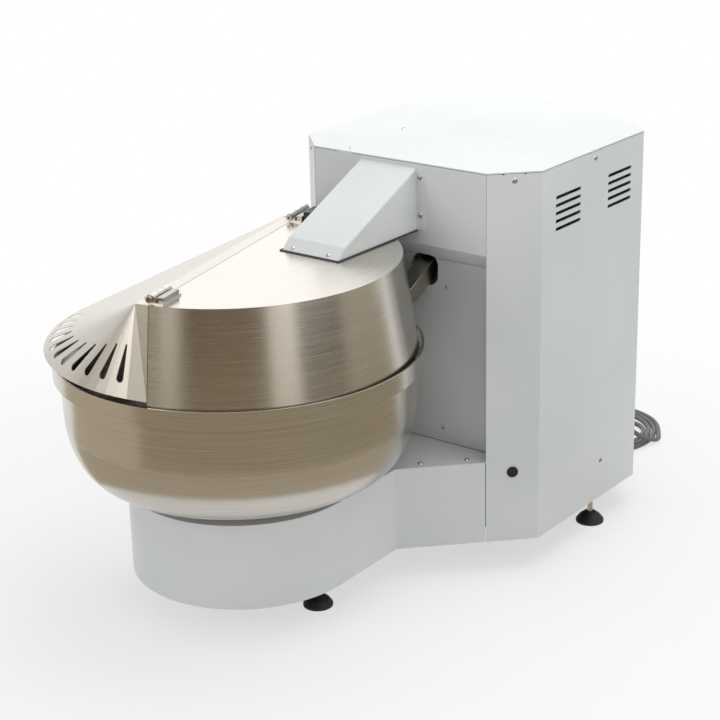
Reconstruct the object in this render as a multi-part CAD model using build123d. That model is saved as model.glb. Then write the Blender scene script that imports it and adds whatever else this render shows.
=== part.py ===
from build123d import *
import os
from math import acos, atan2, cos, degrees, pi, radians, sin, sqrt, tan

# Fork dough mixer. Millimetres, +Z up, bowl side towards -Y, column towards +Y.
# Everything is drawn from the bowl's axis at floor level, then moved so that the
# origin lies under the middle of the machine.

# Body shell
sheet = 2.0
leg_height = 55.0
body_height = 645.0
neck_height = 147.0
column_mid_x = 125.0
column_width = 478.0
column_front_y = 270.0
column_depth = 496.0
front_chamfer = 64.0
back_chamfer = 106.0
front_recess = 35.5
recess_height = 508.0
plinth_radius = 194.0
neck_cut = 109.0
panel_gap = 0.8
flange_width = 18.0
lid_tab_width = 33.0
lid_tab_drop = 24.0
lid_screw_drop = 14.0
tab_notch = 3.0

# Bowl
rim_radius = 300.0
rim_height = 380.0
rim_band = 30.0
rim_step = 7.0
bowl_wall = 2.5
bowl_side_radius = 288.0
bowl_side_height = 290.0
bowl_floor_radius = 220.0
bowl_bottom_height = 174.0

# Bowl bearing and drive
bowl_shaft_radius = 17.5
bearing_outer_radius = 36.0
bearing_width = 17.0
fit_gap = 0.02
running_gap = 0.05
clear_gap = 1.0
housing_radius = 50.0
housing_height = 60.0
housing_flange_radius = 72.0
housing_flange = 12.0
hub_flange_radius = 90.0
hub_flange = 10.0
hub_neck_radius = 30.0
hub_screw_circle = 72.0
bowl_pulley_radius = 108.0
drive_pulley_radius = 36.0
toothed_belt_width = 16.0
toothed_belt_thick = 5.0
pulley_flange = 2.0
belt_plane_height = 115.0
belt_seat_gap = 0.3
support_plate = 10.0
support_post = 20.0
support_post_height = 31.0

# Covers over the bowl
cover_sheet = 1.5
cover_top_height = 530.0
cover_top_radius = 268.0
cover_bottom_radius = 291.6
cover_bottom_height = 374.0
cover_back_gap = 6.0
skirt_drop = 25.0
fork_entry_start = 44.0
fork_entry_end = 110.0
hinge_turn = 13.2
hinge_rise = 8.0
guard_gap = 1.0
guard_strip = 23.0
guard_edge_radius = 311.0
guard_edge_height = 395.0
guard_seam_height = 385.0
guard_corner_angle = 4.0
guard_facets = 46
slot_first_angle = 7.7
slot_step_angle = 7.75
slots_each_side = 11
slot_edge_margin = 22.0
slot_short = 57.0
slot_growth = 2.8
slot_wide = 13.0
slot_narrow = 3.2

# Hinges of the guard
knuckle_radius = 6.8
hinge_pin_radius = 3.0
hinge_head_radius = 5.2
hinge_head_height = 5.0
knuckle_gap = 0.5
near_hinge_start = -262.0
near_hinge_length = 54.0
far_hinge_start = 200.0
far_hinge_length = 62.0
hinge_leaf = 3.0
hinge_leaf_reach = 21.0

# Arm that carries the fixed cover
arm_cover_left = 48.0
arm_cover_width = 115.0
arm_cover_front_y = 60.0
arm_cover_nose = 17.0
arm_cover_back_height = 636.0
arm_cover_corner = 8.0
arm_flange = 15.0
arm_plate = 2.0
arm_plate_lip = 2.5
tongue_plate = 5.0
tongue_width = 90.0
arm_tube_width = 60.0
arm_tube_height = 30.0
arm_tube_start_y = 140.0
crossbar_height = 40.0

# Fork
fork_axis_x = 153.0
fork_tilt = 28.0
fork_axis_height = 452.0
fork_bar = 29.0
fork_bar_inside = 25.0
fork_bar_length = 165.0
tine_bend_length = 80.0
fork_reach = 440.0
tine_offset = 50.0
tine_radius = 11.0
fork_flange_radius = 38.0
fork_flange = 8.0
fork_bolt_circle = 29.0
fork_bolt_radius = 4.0
fork_hole_width = 53.0
fork_hole_bottom = 426.0
fork_hole_corner = 19.0
fork_shaft_radius = 20.0

# Fork gearbox
gearbox_back = 150.0
gearbox_half_length = 50.0
gearbox_width = 140.0
gearbox_above = 72.0
gearbox_below = 104.0
gearbox_wall = 8.0
gearbox_boss = 12.0
wheel_radius = 59.0
wheel_thick = 26.0
wheel_teeth = 36
worm_radius = 16.0
worm_shaft_radius = 10.0
worm_length = 60.0
stand_plate = 8.0
stand_offset = 52.0
stand_front_y = 458.0
stand_back_y = 543.0
seat_plate = 10.0

# Motor and V-belts
motor_y = 645.0
motor_height = 131.0
motor_radius = 72.0
motor_left = 20.0
motor_right = 210.0
motor_fins = 24
fin_height = 5.0
fan_cowl_length = 58.0
motor_shaft_radius = 9.5
motor_plate_thick = 6.0
fork_belt_x = 265.0
belt_pitch = 22.0
pulley_half_width = 9.0
belt_width = 12.0
belt_thick = 8.0
groove_depth = 9.0
belt_side_gap = 0.5
motor_pulley_radius = 36.0
fork_pulley_radius = 76.0
bowl_worm_pulley_radius = 58.0

# Bowl gearbox
bowl_gearbox_x = 125.0
bowl_gearbox_y = 378.0
bowl_gearbox_width = 130.0
bowl_gearbox_front = 53.0
bowl_gearbox_back = 77.0
bowl_gearbox_height = 90.0
bowl_wheel_radius = 39.0
bowl_wheel_thick = 22.0
bowl_wheel_teeth = 30
bowl_worm_radius = 14.0
bowl_output_radius = 15.0

# Frame
tube = 40.0
tube_wall = 3.0
frame_lift = 2.0
left_rail_x = -25.0
right_rail_x = 150.0
rail_front_y = -60.0
left_rail_back_y = 720.0
upright = 30.0
upright_left_x = -47.0
upright_right_x = 297.0
upright_y = 330.0

# Feet
foot_mid_x = 125.0
back_foot_span = 434.0
back_foot_y = 545.0
front_foot_span = 280.0
front_foot_y = 10.0
foot_pad_radius = 25.0
foot_pad_height = 19.0
foot_stud_radius = 5.0
foot_nut_width = 17.0
foot_nut_height = 8.0

# Small parts
screw_head_radius = 5.0
screw_head_height = 2.6
screw_shank_radius = 2.4
screw_length = 8.0
hole_gap = 0.2
small_screw_scale = 0.7
plug_radius = 9.5
plug_height = 127.0
button_stem_radius = 11.0
button_travel = 3.0
mushroom_radius = 19.0
mushroom_height = 13.0
bezel_radius = 17.5
bezel_thread_radius = 13.5
bezel_lip = 6.0
bezel_depth = 16.0
control_y = 470.0
start_button_height = 500.0
stop_button_height = 440.0
gland_radius = 13.0
gland_length = 24.0
gland_x = 212.0
gland_height = 30.0

# Louvres
louvre_length = 78.0
louvre_height = 6.0
louvre_pitch = 13.3
louvre_rows = 5
louvre_top_height = 590.0
louvre_group_y = (415.0, 581.0)

# Mains cord
cord_radius = 4.75
cord_drop = [(212, 826, 85), (232, 860, 54), (254, 890, 22)]
cord_last_run = 32.0
coil_centre = (135.0, 915.0)
coil_radius = 128.0
coil_pitch = 10.6
coil_turns = 3
coil_start_angle = 25.0
coil_end_radius = 50.0
mains_plug_radius = 19.0
mains_plug_height = 21.0
mains_plug_neck = 12.0
mains_pin_radius = 2.4
mains_pin_length = 19.0
mains_pin_spacing = 19.0

os.makedirs("parts", exist_ok=True)

column_left = column_mid_x - column_width / 2
column_right = column_mid_x + column_width / 2
column_back_y = column_front_y + column_depth
front_right_x = column_right - front_chamfer
front_left_x = column_left + front_chamfer
recess_y = column_front_y + front_recess
body_bottom = leg_height
body_top = leg_height + body_height
panel_top = body_top - sheet - panel_gap
deck_top = leg_height + neck_height
recess_top = leg_height + recess_height
rim_top = leg_height + rim_height
bowl_bottom = leg_height + bowl_bottom_height
cover_top = leg_height + cover_top_height
cover_bottom = leg_height + cover_bottom_height
hinge_z = cover_top + hinge_rise
guard_edge_z = leg_height + guard_edge_height
guard_seam_z = leg_height + guard_seam_height
frame_bottom = body_bottom + frame_lift
frame_top = frame_bottom + tube
belt_plane = belt_plane_height
support_bottom = frame_top + support_post_height
support_top = support_bottom + support_plate

# The origin lies under the middle of the machine's box.
reach_left = -guard_edge_radius
reach_right = max(foot_mid_x + back_foot_span / 2 + foot_pad_radius, column_right + screw_head_height)
reach_front = -guard_edge_radius
reach_back = column_back_y + gland_length
middle_x = (reach_left + reach_right) / 2
middle_y = (reach_front + reach_back) / 2


def save(name, *pieces):
    """Write one sub-part, moved so that the origin is under the machine's middle."""
    solids = []
    for piece in pieces:
        solids.extend(piece.solids())
    moved = [solid.moved(Location((-middle_x, -middle_y, 0))) for solid in solids]
    whole = moved[0] if len(moved) == 1 else Compound(children=moved)
    export_step(whole, f"parts/{name}.step")


def at(x, y, z):
    """A place in the finished model, in metres, for the notes printed below."""
    return tuple(round(value / 1000, 5) for value in (x - middle_x, y - middle_y, z))


def block(x0, x1, y0, y1, z0, z1):
    """A box between two corners."""
    size = (x1 - x0, y1 - y0, z1 - z0)
    return Pos((x0 + x1) / 2, (y0 + y1) / 2, (z0 + z1) / 2) * Box(*size)


def rod(start, direction, radius, length):
    """A round bar from a point along a direction."""
    return extrude(Plane(origin=start, z_dir=direction) * Circle(radius), length)


def ring(start, direction, outer, inner, length):
    """A round bar with a bore."""
    return extrude(Plane(origin=start, z_dir=direction) * (Circle(outer) - Circle(inner)), length)


def square_tube(x0, x1, y0, y1, z0, z1):
    """A square tube along its longest side, open at both ends."""
    spans = [x1 - x0, y1 - y0, z1 - z0]
    shrink = [tube_wall, tube_wall, tube_wall]
    shrink[spans.index(max(spans))] = -1.0
    dx, dy, dz = shrink
    inside = block(x0 + dx, x1 - dx, y0 + dy, y1 - dy, z0 + dz, z1 - dz)
    return block(x0, x1, y0, y1, z0, z1) - inside


def polygon(points):
    return make_face(Polyline(*points, close=True))


def strip_outline(points, thickness):
    """The outline of a bent strip: its outer face, and the same line set off to the left."""
    normals = []
    for start, end in zip(points, points[1:]):
        run = (end[0] - start[0], end[1] - start[1])
        length = sqrt(run[0] ** 2 + run[1] ** 2)
        normals.append((-run[1] / length, run[0] / length))
    before = [normals[0]] + normals
    after = normals + [normals[-1]]
    inner = []
    for point, n, m in zip(points, before, after):
        scale = thickness / (1 + n[0] * m[0] + n[1] * m[1])
        inner.append((point[0] + (n[0] + m[0]) * scale, point[1] + (n[1] + m[1]) * scale))
    return list(points) + inner[::-1]


def plan_sheet(points, z0, z1):
    """A sheet bent along upright lines."""
    return Pos(0, 0, z0) * extrude(polygon(strip_outline(points, sheet)), z1 - z0)


def profile_solid(points, x0, x1):
    """An outline in Y and Z, drawn out along X."""
    return extrude(Plane(origin=(x0, 0, 0), x_dir=(0, 1, 0), z_dir=(1, 0, 0)) * polygon(points), x1 - x0)


def screw(place, direction, scale=1.0, length=screw_length):
    """A domed screw: its head stands on the sheet at the place given."""
    radius = screw_head_radius * scale
    height = screw_head_height * scale
    ball = (radius**2 + height**2) / (2 * height)
    outline = make_face(
        Curve() + [
            Line((0, 0), (radius, 0)),
            ThreePointArc((radius, 0), (ball * sin(0.5 * atan2(radius, ball - height)),
                          height - ball + ball * cos(0.5 * atan2(radius, ball - height))), (0, height)),
            Line((0, height), (0, 0)),
        ]
    )
    head = revolve(Plane.XZ * outline, Axis.Z)
    socket = Pos(0, 0, height) * extrude(RegularPolygon(radius * 0.45, 6), -height * 0.6)
    shank = Pos(0, 0, -length) * extrude(Circle(screw_shank_radius * scale), length)
    return Plane(origin=place, z_dir=direction).location * (head - socket + shank)


def screw_hole(place, direction, scale=1.0):
    start = Plane(origin=place, z_dir=direction).location * Pos(0, 0, -screw_length - 1)
    return start * extrude(Circle(screw_shank_radius * scale + hole_gap), screw_length + 4)


# Outlines in plan
def column_outline(inset):
    corner = inset * (sqrt(2) - 1)
    left = column_left + inset
    right = column_right - inset
    front = column_front_y + inset
    back = column_back_y - inset
    return [
        (front_left_x + corner, front),
        (front_right_x - corner, front),
        (right, column_front_y + front_chamfer + corner),
        (right, column_back_y - back_chamfer - corner),
        (column_right - back_chamfer - corner, back),
        (column_left + back_chamfer + corner, back),
        (left, column_back_y - back_chamfer - corner),
        (left, column_front_y + front_chamfer + corner),
    ]


def on_circle(radius, angle):
    return (radius * cos(radians(angle)), radius * sin(radians(angle)))


def touch_angle(point, radius, side):
    """Where, in degrees, a line from a point touches a circle about the bowl's axis."""
    distance = sqrt(point[0] ** 2 + point[1] ** 2)
    return degrees(atan2(point[1], point[0])) + side * degrees(acos(radius / distance))


def neck_outline(inset, right_x, stretch):
    """The plinth's outline: the neck wall carries on the line of the column's front chamfer."""
    radius = plinth_radius - inset
    corner = (
        front_right_x - neck_cut - inset * 0.3,
        column_front_y - neck_cut + inset * 1.1,
    )
    right_angle = touch_angle(corner, radius, -1)
    left = (front_left_x - front_recess + inset * 1.08, recess_y)
    left_angle = touch_angle(left, radius, 1)
    touch = on_circle(radius, left_angle)
    far = tuple(left[axis] + (left[axis] - touch[axis]) * stretch for axis in (0, 1))
    right = (right_x, corner[1] + right_x - corner[0])
    edges = [
        Line((right_x, far[1]), right),
        Line(right, corner),
        Line(corner, on_circle(radius, right_angle)),
        CenterArc((0, 0), radius, right_angle, left_angle - 360 - right_angle),
        Line(touch, far),
        Line(far, (right_x, far[1])),
    ]
    return make_face(Curve() + edges)


deck_right = front_right_x - panel_gap
plinth_shell = Pos(0, 0, body_bottom) * extrude(neck_outline(0, deck_right, 0.05), neck_height - sheet)
plinth_shell -= Pos(0, 0, body_bottom - 1) * extrude(neck_outline(sheet, deck_right + 10, 0.2), neck_height)
plinth_shell -= block(-900, 900, recess_y - panel_gap, 900, 0, body_top)
plinth_shell -= block(0, 900, column_front_y - panel_gap, 900, 0, body_top)

deck_plate = Pos(0, 0, deck_top - sheet) * extrude(neck_outline(0, deck_right, 0.05), sheet)
deck_plate -= block(-900, 900, recess_y - panel_gap, 900, 0, body_top)
deck_plate -= rod((0, 0, deck_top - 5), (0, 0, 1), hub_neck_radius + 4, 10)
deck_screw_places = [(211, 205, deck_top), (266, 263, deck_top), (-70, 270, deck_top), (-125, 130, deck_top)]
for place in deck_screw_places:
    deck_plate -= screw_hole(place, (0, 0, 1))
save("plinth_shell", plinth_shell)
save("deck_plate", deck_plate)
casing_screws = [screw(place, (0, 0, 1)) for place in deck_screw_places]

# Side panels: flange, return, front chamfer, side, back chamfer and flange in one sheet
half = sqrt(0.5)
chamfer_mid = (column_right - front_chamfer / 2, column_front_y + front_chamfer / 2)
back_left_x = column_left + back_chamfer
back_right_x = column_right - back_chamfer
back_screw_places = [
    (x, column_back_y, leg_height + height)
    for x in (back_left_x + flange_width / 2, back_right_x - flange_width / 2)
    for height in (60.0, 330.0, 600.0)
]
back_holes = [screw_hole(place, (0, 1, 0)) for place in back_screw_places]
tab_z = body_top - lid_screw_drop
tab_places = [
    ((chamfer_mid[0], chamfer_mid[1]), (half, -half)),
    ((column_right, 499.0), (1, 0)),
    ((column_right - 50.0, column_back_y - back_chamfer + 50.0), (half, half)),
]
side_screws = [((x, y, tab_z), (dx, dy, 0)) for (x, y), (dx, dy) in tab_places]
side_screws.append(((column_right, 539.0, leg_height + 72.0), (1, 0, 0)))

flange_top = recess_top - 60.0
outer_path = [
    (column_right, column_front_y + front_chamfer),
    (column_right, column_back_y - back_chamfer),
    (column_right - back_chamfer + sheet, column_back_y - sheet),
    (column_right - back_chamfer - flange_width, column_back_y - sheet),
]
corner_path = [(front_right_x, recess_y + sheet), (front_right_x, column_front_y)]
flange_path = [(front_right_x - flange_width, recess_y + sheet)]
far_corner_x = front_right_x + front_recess + sheet
far_flange_path = [(far_corner_x - flange_width, recess_y + sheet), (far_corner_x, recess_y + sheet)]
seam_y = recess_y + sheet
strip_slope = 31.0 / front_recess
seam_z = recess_top - (seam_y - column_front_y) * strip_slope


def finish_side(panel):
    """Cut the louvres, the screw holes and the notches beside the lid's tabs."""
    for row in range(louvre_rows):
        slot_z = leg_height + louvre_top_height - row * louvre_pitch
        for slot_y in louvre_group_y:
            face = Plane(origin=(column_right + 1, slot_y, slot_z), x_dir=(0, 1, 0), z_dir=(1, 0, 0))
            panel -= extrude(face * SlotOverall(louvre_length, louvre_height), -sheet - 2)
    for place, direction in side_screws:
        panel -= screw_hole(place, direction)
    for (x, y), (dx, dy) in tab_places:
        for side in (-1, 1):
            shift = side * (lid_tab_width + tab_notch) / 2
            notch = Plane(origin=(x - dy * shift, y + dx * shift, panel_top), z_dir=(dx, dy, 0)).location
            panel -= notch * Box(tab_notch, tab_notch, 12)
    return panel


def mirrored(shape):
    """The same piece on the other side of the column."""
    return mirror(shape, Plane(origin=(column_mid_x, 0, 0), z_dir=(1, 0, 0)))


side_right = plan_sheet(flange_path + corner_path + outer_path, body_bottom, flange_top)
side_right += plan_sheet(corner_path + outer_path, flange_top, panel_top)
side_right -= block(-900, front_right_x, 0, recess_y + 20, 0, deck_top)
side_right = finish_side(side_right)

# On the left the recess runs out through the chamfer, because the bowl stands nearer to it
side_left = plan_sheet(far_flange_path + outer_path, body_bottom, flange_top)
side_left += plan_sheet(far_flange_path[1:] + outer_path, flange_top, seam_z)
side_left += plan_sheet(corner_path + outer_path, seam_z, panel_top)
side_left -= profile_solid(
    [
        (column_front_y - 20, seam_z),
        (seam_y, seam_z),
        (column_front_y, recess_top),
        (column_front_y - 20, recess_top),
    ],
    front_right_x - 5, column_right,
)
side_left -= profile_solid(
    [
        (column_front_y, recess_top),
        (seam_y, seam_z),
        (seam_y + 4, seam_z),
        (seam_y + 4, recess_top + 4),
        (column_front_y, recess_top + 4),
    ],
    front_right_x - 5, front_right_x + sheet,
)
side_left = mirrored(finish_side(side_left))
for hole in back_holes:
    side_right -= hole
    side_left -= hole
plug_place = (chamfer_mid[0], chamfer_mid[1], leg_height + plug_height)
plug_direction = (half, -half, 0)
side_right -= rod(
    (plug_place[0] + half * 5, plug_place[1] - half * 5, plug_place[2]), (-half, half, 0), 7.2, 12
)
button_x = column_left
start_place = (button_x, control_y, leg_height + start_button_height)
stop_place = (button_x, control_y, leg_height + stop_button_height)
for place in (start_place, stop_place):
    side_left -= rod((place[0] - 5, place[1], place[2]), (1, 0, 0), bezel_thread_radius + hole_gap, 12)
save("column_side_right", side_right)
save("column_side_left", side_left)
right_screws = [screw(place, direction) for place, direction in side_screws]
casing_screws += right_screws + [mirrored(item) for item in right_screws]

hole_plug = rod(plug_place, plug_direction, plug_radius, 2.5)
hole_plug += rod(plug_place, (-half, half, 0), 7.0, 6)
save("hole_plug", fillet(hole_plug.edges().filter_by(GeomType.CIRCLE).sort_by(Axis.X)[-1], 1.2))

# Lid with tabs that hang behind the side panels
column_lid = Pos(0, 0, body_top - sheet) * extrude(polygon(column_outline(0)), sheet)
tabs = []
for (x, y), (dx, dy) in tab_places:
    inner = (x - dx * sheet * 1.5, y - dy * sheet * 1.5, body_top - sheet - lid_tab_drop / 2)
    place = Plane(origin=inner, x_dir=(-dy, dx, 0), z_dir=(dx, dy, 0)).location
    tabs.append(place * Box(lid_tab_width, lid_tab_drop, sheet))
for tab in tabs + [mirrored(tab) for tab in tabs]:
    column_lid += tab
for place, direction in side_screws[:3]:
    hole = screw_hole(place, direction)
    column_lid -= hole
    column_lid -= mirrored(hole)
lid_screw_places = [(15.0, 289.0, body_top), (7.0, 449.0, body_top)]
for place in lid_screw_places:
    column_lid -= screw_hole(place, (0, 0, 1))
save("column_lid", column_lid)
casing_screws += [screw(place, (0, 0, 1)) for place in lid_screw_places]

# Front panels: the upper one steps back to the recessed lower one
upper_profile = [
    (column_front_y, panel_top),
    (column_front_y, recess_top),
    (seam_y, seam_z),
    (seam_y, seam_z - flange_width),
]
upper_front = profile_solid(
    strip_outline(upper_profile, sheet), front_left_x - front_recess, front_right_x - panel_gap
)
upper_front -= block(-900, front_left_x + panel_gap, 0, 900, recess_top, 900)
trim = front_left_x + column_front_y + sheet * sqrt(2) + panel_gap
upper_front -= extrude(
    polygon([(trim - 200, 200), (trim - 400, 400), (-900, 400), (-900, 200)]), recess_top
)
fork_hole_top = seam_z - leg_height + 5.0
hole_mid_z = leg_height + (fork_hole_bottom + fork_hole_top) / 2
hole_face = Plane(origin=(fork_axis_x, recess_y - 20, hole_mid_z), x_dir=(1, 0, 0), z_dir=(0, 1, 0))
hole_shape = RectangleRounded(fork_hole_width, fork_hole_top - fork_hole_bottom, fork_hole_corner)
fork_hole = extrude(hole_face * hole_shape, 60)
arm_mid_x = arm_cover_left + arm_cover_width / 2
arm_right = arm_cover_left + arm_cover_width
tongue_bottom = cover_top + arm_plate
tongue_top = tongue_bottom + tongue_plate
arm_slot = block(
    arm_mid_x - tongue_width / 2 - clear_gap, arm_mid_x + tongue_width / 2 + clear_gap,
    column_front_y - 5, column_front_y + 10, tongue_bottom - clear_gap,
    tongue_top + arm_tube_height + clear_gap,
)
arm_screw_places = [
    (x, column_front_y - cover_sheet, leg_height + height)
    for x in (arm_cover_left - arm_flange / 2, arm_right + arm_flange / 2)
    for height in (557.0, 621.0)
]
upper_front = upper_front - fork_hole - arm_slot
lid_flange_z = body_top - sheet
upper_front += block(0, 30, column_front_y, 300, lid_flange_z - sheet, lid_flange_z)
upper_front += block(0, 30, column_front_y, column_front_y + sheet, panel_top - 1, lid_flange_z)
upper_front -= screw_hole(lid_screw_places[0], (0, 0, 1))
for place in arm_screw_places:
    upper_front -= screw_hole(place, (0, -1, 0))
save("upper_front_panel", upper_front)

lower_front = block(
    front_left_x - front_recess + panel_gap, front_right_x - panel_gap, recess_y, recess_y + sheet,
    deck_top + panel_gap, seam_z - panel_gap,
)
lower_front -= fork_hole
middle_screws = [(197.2, recess_y, leg_height + 427.8), (188.1, recess_y, leg_height + 172.7)]
for place in middle_screws:
    lower_front -= screw_hole(place, (0, -1, 0), small_screw_scale)
save("lower_front_panel", lower_front)
casing_screws += [screw(place, (0, -1, 0), small_screw_scale) for place in middle_screws]

# Back panel over the flanges of the side panels
back_panel = block(
    back_left_x + panel_gap, back_right_x - panel_gap, column_back_y - sheet, column_back_y,
    body_bottom, panel_top,
)
gland_place = (gland_x, column_back_y, leg_height + gland_height)
back_panel -= rod((gland_x, column_back_y - 10, gland_place[2]), (0, 1, 0), gland_radius - 4 + hole_gap, 20)
back_vent_face = Plane(origin=(0, column_back_y + 1, 0), x_dir=(-1, 0, 0), z_dir=(0, 1, 0))
for row in range(louvre_rows):
    slot_z = leg_height + louvre_top_height - 330 - row * louvre_pitch
    for slot_x in (-70.0, -180.0):
        back_panel -= extrude(
            back_vent_face * Pos(slot_x, slot_z) * SlotOverall(louvre_length, louvre_height), -sheet - 2
        )
for hole in back_holes:
    back_panel -= hole
save("back_panel", back_panel)
casing_screws += [screw(place, (0, 1, 0)) for place in back_screw_places]

# Bowl: flat floor, quarter ellipse, straight side and a stepped rim band
corner_run = bowl_side_radius - bowl_floor_radius
corner_rise = bowl_side_height - bowl_bottom_height
side_z = leg_height + bowl_side_height
band_z = rim_top - rim_band


def bowl_section(inset):
    """Half of the bowl's section, from its floor to its rim, at a depth inside the outer face."""
    arc = EllipticalCenterArc(
        (bowl_floor_radius, side_z), corner_run - inset, corner_rise - inset, start_angle=270, arc_size=90
    )
    return [
        Line((0, bowl_bottom + inset), (bowl_floor_radius, bowl_bottom + inset)),
        arc,
        Line((bowl_side_radius - inset, side_z), (bowl_side_radius - inset, band_z - rim_step)),
        Line((bowl_side_radius - inset, band_z - rim_step), (rim_radius - inset, band_z)),
        Line((rim_radius - inset, band_z), (rim_radius - inset, rim_top)),
    ]


bowl_edges = bowl_section(0) + bowl_section(bowl_wall)
bowl_edges.append(Line((rim_radius, rim_top), (rim_radius - bowl_wall, rim_top)))
bowl_edges.append(Line((0, bowl_bottom), (0, bowl_bottom + bowl_wall)))
bowl = revolve(Plane.XZ * make_face(Curve() + bowl_edges), Axis.Z)
hub_screw_places = [
    (*on_circle(hub_screw_circle, 60 * count), bowl_bottom + bowl_wall) for count in range(6)
]
hub_bottom = bowl_bottom - hub_flange
housing_top = support_top + housing_height
shaft_bottom = belt_plane - toothed_belt_width / 2 - pulley_flange - 5
bowl_hub = rod((0, 0, hub_bottom), (0, 0, 1), hub_flange_radius, hub_flange)
bowl_hub += rod((0, 0, housing_top + clear_gap), (0, 0, 1), hub_neck_radius, hub_bottom - housing_top)
bowl_hub += rod((0, 0, shaft_bottom), (0, 0, 1), bowl_shaft_radius, hub_bottom - shaft_bottom)
for place in hub_screw_places:
    bowl -= screw_hole(place, (0, 0, 1))
    bowl_hub -= screw_hole(place, (0, 0, 1))
save("bowl", bowl)
save("bowl_hub", bowl_hub)
save("bowl_screws", *[screw(place, (0, 0, 1)) for place in hub_screw_places])

# Bearing housing of the bowl on its plate
bearing_seats = [support_top + 5, housing_top - 5 - bearing_width]
bowl_housing = rod((0, 0, support_top), (0, 0, 1), housing_radius, housing_height)
bowl_housing += rod((0, 0, support_top), (0, 0, 1), housing_flange_radius, housing_flange)
bowl_housing -= rod((0, 0, support_top - 1), (0, 0, 1), bearing_outer_radius - 5, housing_height + 2)
bowl_housing -= rod(
    (0, 0, support_top - 1), (0, 0, 1), bearing_outer_radius + fit_gap, bearing_width + 6
)
bowl_housing -= rod(
    (0, 0, bearing_seats[1]), (0, 0, 1), bearing_outer_radius + fit_gap, bearing_width + 6
)
save("bowl_bearing_housing", bowl_housing)
save("bowl_bearings", *[
    ring((0, 0, seat), (0, 0, 1), bearing_outer_radius, bowl_shaft_radius + running_gap, bearing_width)
    for seat in bearing_seats
])
save("bowl_seal", ring(
    (0, 0, bearing_seats[1] + bearing_width), (0, 0, 1), bearing_outer_radius,
    bowl_shaft_radius + 0.1, 4.5,
))
bearing_plate = block(-160, 160, -65, 40, support_bottom, support_top)
bearing_plate -= rod((0, 0, support_bottom - 1), (0, 0, 1), hub_neck_radius, support_plate + 2)


def toothed_pulley(centre, radius, bore, spokes):
    """A flat-faced belt pulley with two rims, and holes through its web."""
    x, y = centre
    bottom = belt_plane - toothed_belt_width / 2 - pulley_flange
    height = toothed_belt_width + 2 * pulley_flange
    pulley = rod((x, y, bottom), (0, 0, 1), radius, height)
    pulley -= ring(
        (x, y, bottom + pulley_flange), (0, 0, 1), radius + 1, radius - toothed_belt_thick,
        toothed_belt_width,
    )
    pulley -= rod((x, y, bottom - 1), (0, 0, 1), bore + fit_gap, height + 2)
    for count in range(spokes):
        hole = on_circle(radius * 0.6, 360 / spokes * count)
        pulley -= rod((x + hole[0], y + hole[1], bottom - 1), (0, 0, 1), radius * 0.2, height + 2)
    return pulley


def loop_face(first, first_radius, second, second_radius):
    """The area inside a belt line round two circles."""
    run = (second[0] - first[0], second[1] - first[1])
    heading = degrees(atan2(run[1], run[0]))
    lean = degrees(acos((first_radius - second_radius) / sqrt(run[0] ** 2 + run[1] ** 2)))
    big_arc = Pos(*first) * CenterArc((0, 0), first_radius, heading + lean, 360 - 2 * lean)
    small_arc = Pos(*second) * CenterArc((0, 0), second_radius, heading - lean, 2 * lean)
    edges = [
        big_arc,
        Line(big_arc @ 1, small_arc @ 0),
        small_arc,
        Line(small_arc @ 1, big_arc @ 0),
    ]
    return make_face(Curve() + edges)


def belt(plane, width, thickness, first, first_radius, second, second_radius):
    """A belt round two pulleys; the radii are those of its inner face."""
    outer = loop_face(first, first_radius + thickness, second, second_radius + thickness)
    inner = loop_face(first, first_radius, second, second_radius)
    return extrude(plane.offset(-width / 2) * (outer - inner), width)


gear_out = (bowl_gearbox_x, bowl_gearbox_y)
save("bowl_pulley", toothed_pulley((0, 0), bowl_pulley_radius, bowl_shaft_radius, 6))
save("bowl_drive_pulley", toothed_pulley(gear_out, drive_pulley_radius, bowl_output_radius, 0))
save("bowl_belt", belt(
    Plane(origin=(0, 0, belt_plane)), toothed_belt_width - 2 * belt_seat_gap,
    toothed_belt_thick - belt_seat_gap, (0, 0),
    bowl_pulley_radius - toothed_belt_thick + belt_seat_gap, gear_out,
    drive_pulley_radius - toothed_belt_thick + belt_seat_gap,
))


def toothed_wheel(radius, thick, bore, teeth):
    """A worm wheel about local Z, with straight gaps between its teeth."""
    wheel = extrude(Circle(radius) - Circle(bore), thick / 2, both=True)
    depth = radius * 0.06
    width = pi * radius / teeth
    gap = Pos(radius, 0, 0) * Box(2 * depth, width, thick + 2)
    return wheel - [Rot(0, 0, 360 / teeth * count) * gap for count in range(teeth)]


# Bowl gearbox: worm and wheel with an upright output shaft
gear_mid_z = support_top + bowl_gearbox_height / 2
bowl_worm_y = bowl_gearbox_y + bowl_wheel_radius + bowl_worm_radius + clear_gap
gearbox_left = bowl_gearbox_x - bowl_gearbox_width / 2
gearbox_right = bowl_gearbox_x + bowl_gearbox_width / 2
gearbox_y0 = bowl_gearbox_y - bowl_gearbox_front
gearbox_y1 = bowl_gearbox_y + bowl_gearbox_back
bowl_gear_case = block(
    gearbox_left, gearbox_right, gearbox_y0, gearbox_y1, support_top, support_top + bowl_gearbox_height
)
bowl_gear_case = fillet(bowl_gear_case.edges().filter_by(Axis.Z), 12)
bowl_gear_case -= block(
    gearbox_left + gearbox_wall, gearbox_right - gearbox_wall, gearbox_y0 + gearbox_wall,
    gearbox_y1 - gearbox_wall, support_top + gearbox_wall,
    support_top + bowl_gearbox_height - gearbox_wall,
)
bowl_gear_case -= rod(
    (*gear_out, support_top - 1), (0, 0, 1), bowl_output_radius + running_gap, gearbox_wall + 2
)
bowl_gear_case -= rod(
    (gearbox_left - 1, bowl_worm_y, gear_mid_z), (1, 0, 0), worm_shaft_radius + running_gap,
    bowl_gearbox_width + 2,
)
save("bowl_gearbox_case", bowl_gear_case)
output_bottom = belt_plane - toothed_belt_width / 2 - pulley_flange - 3
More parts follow.
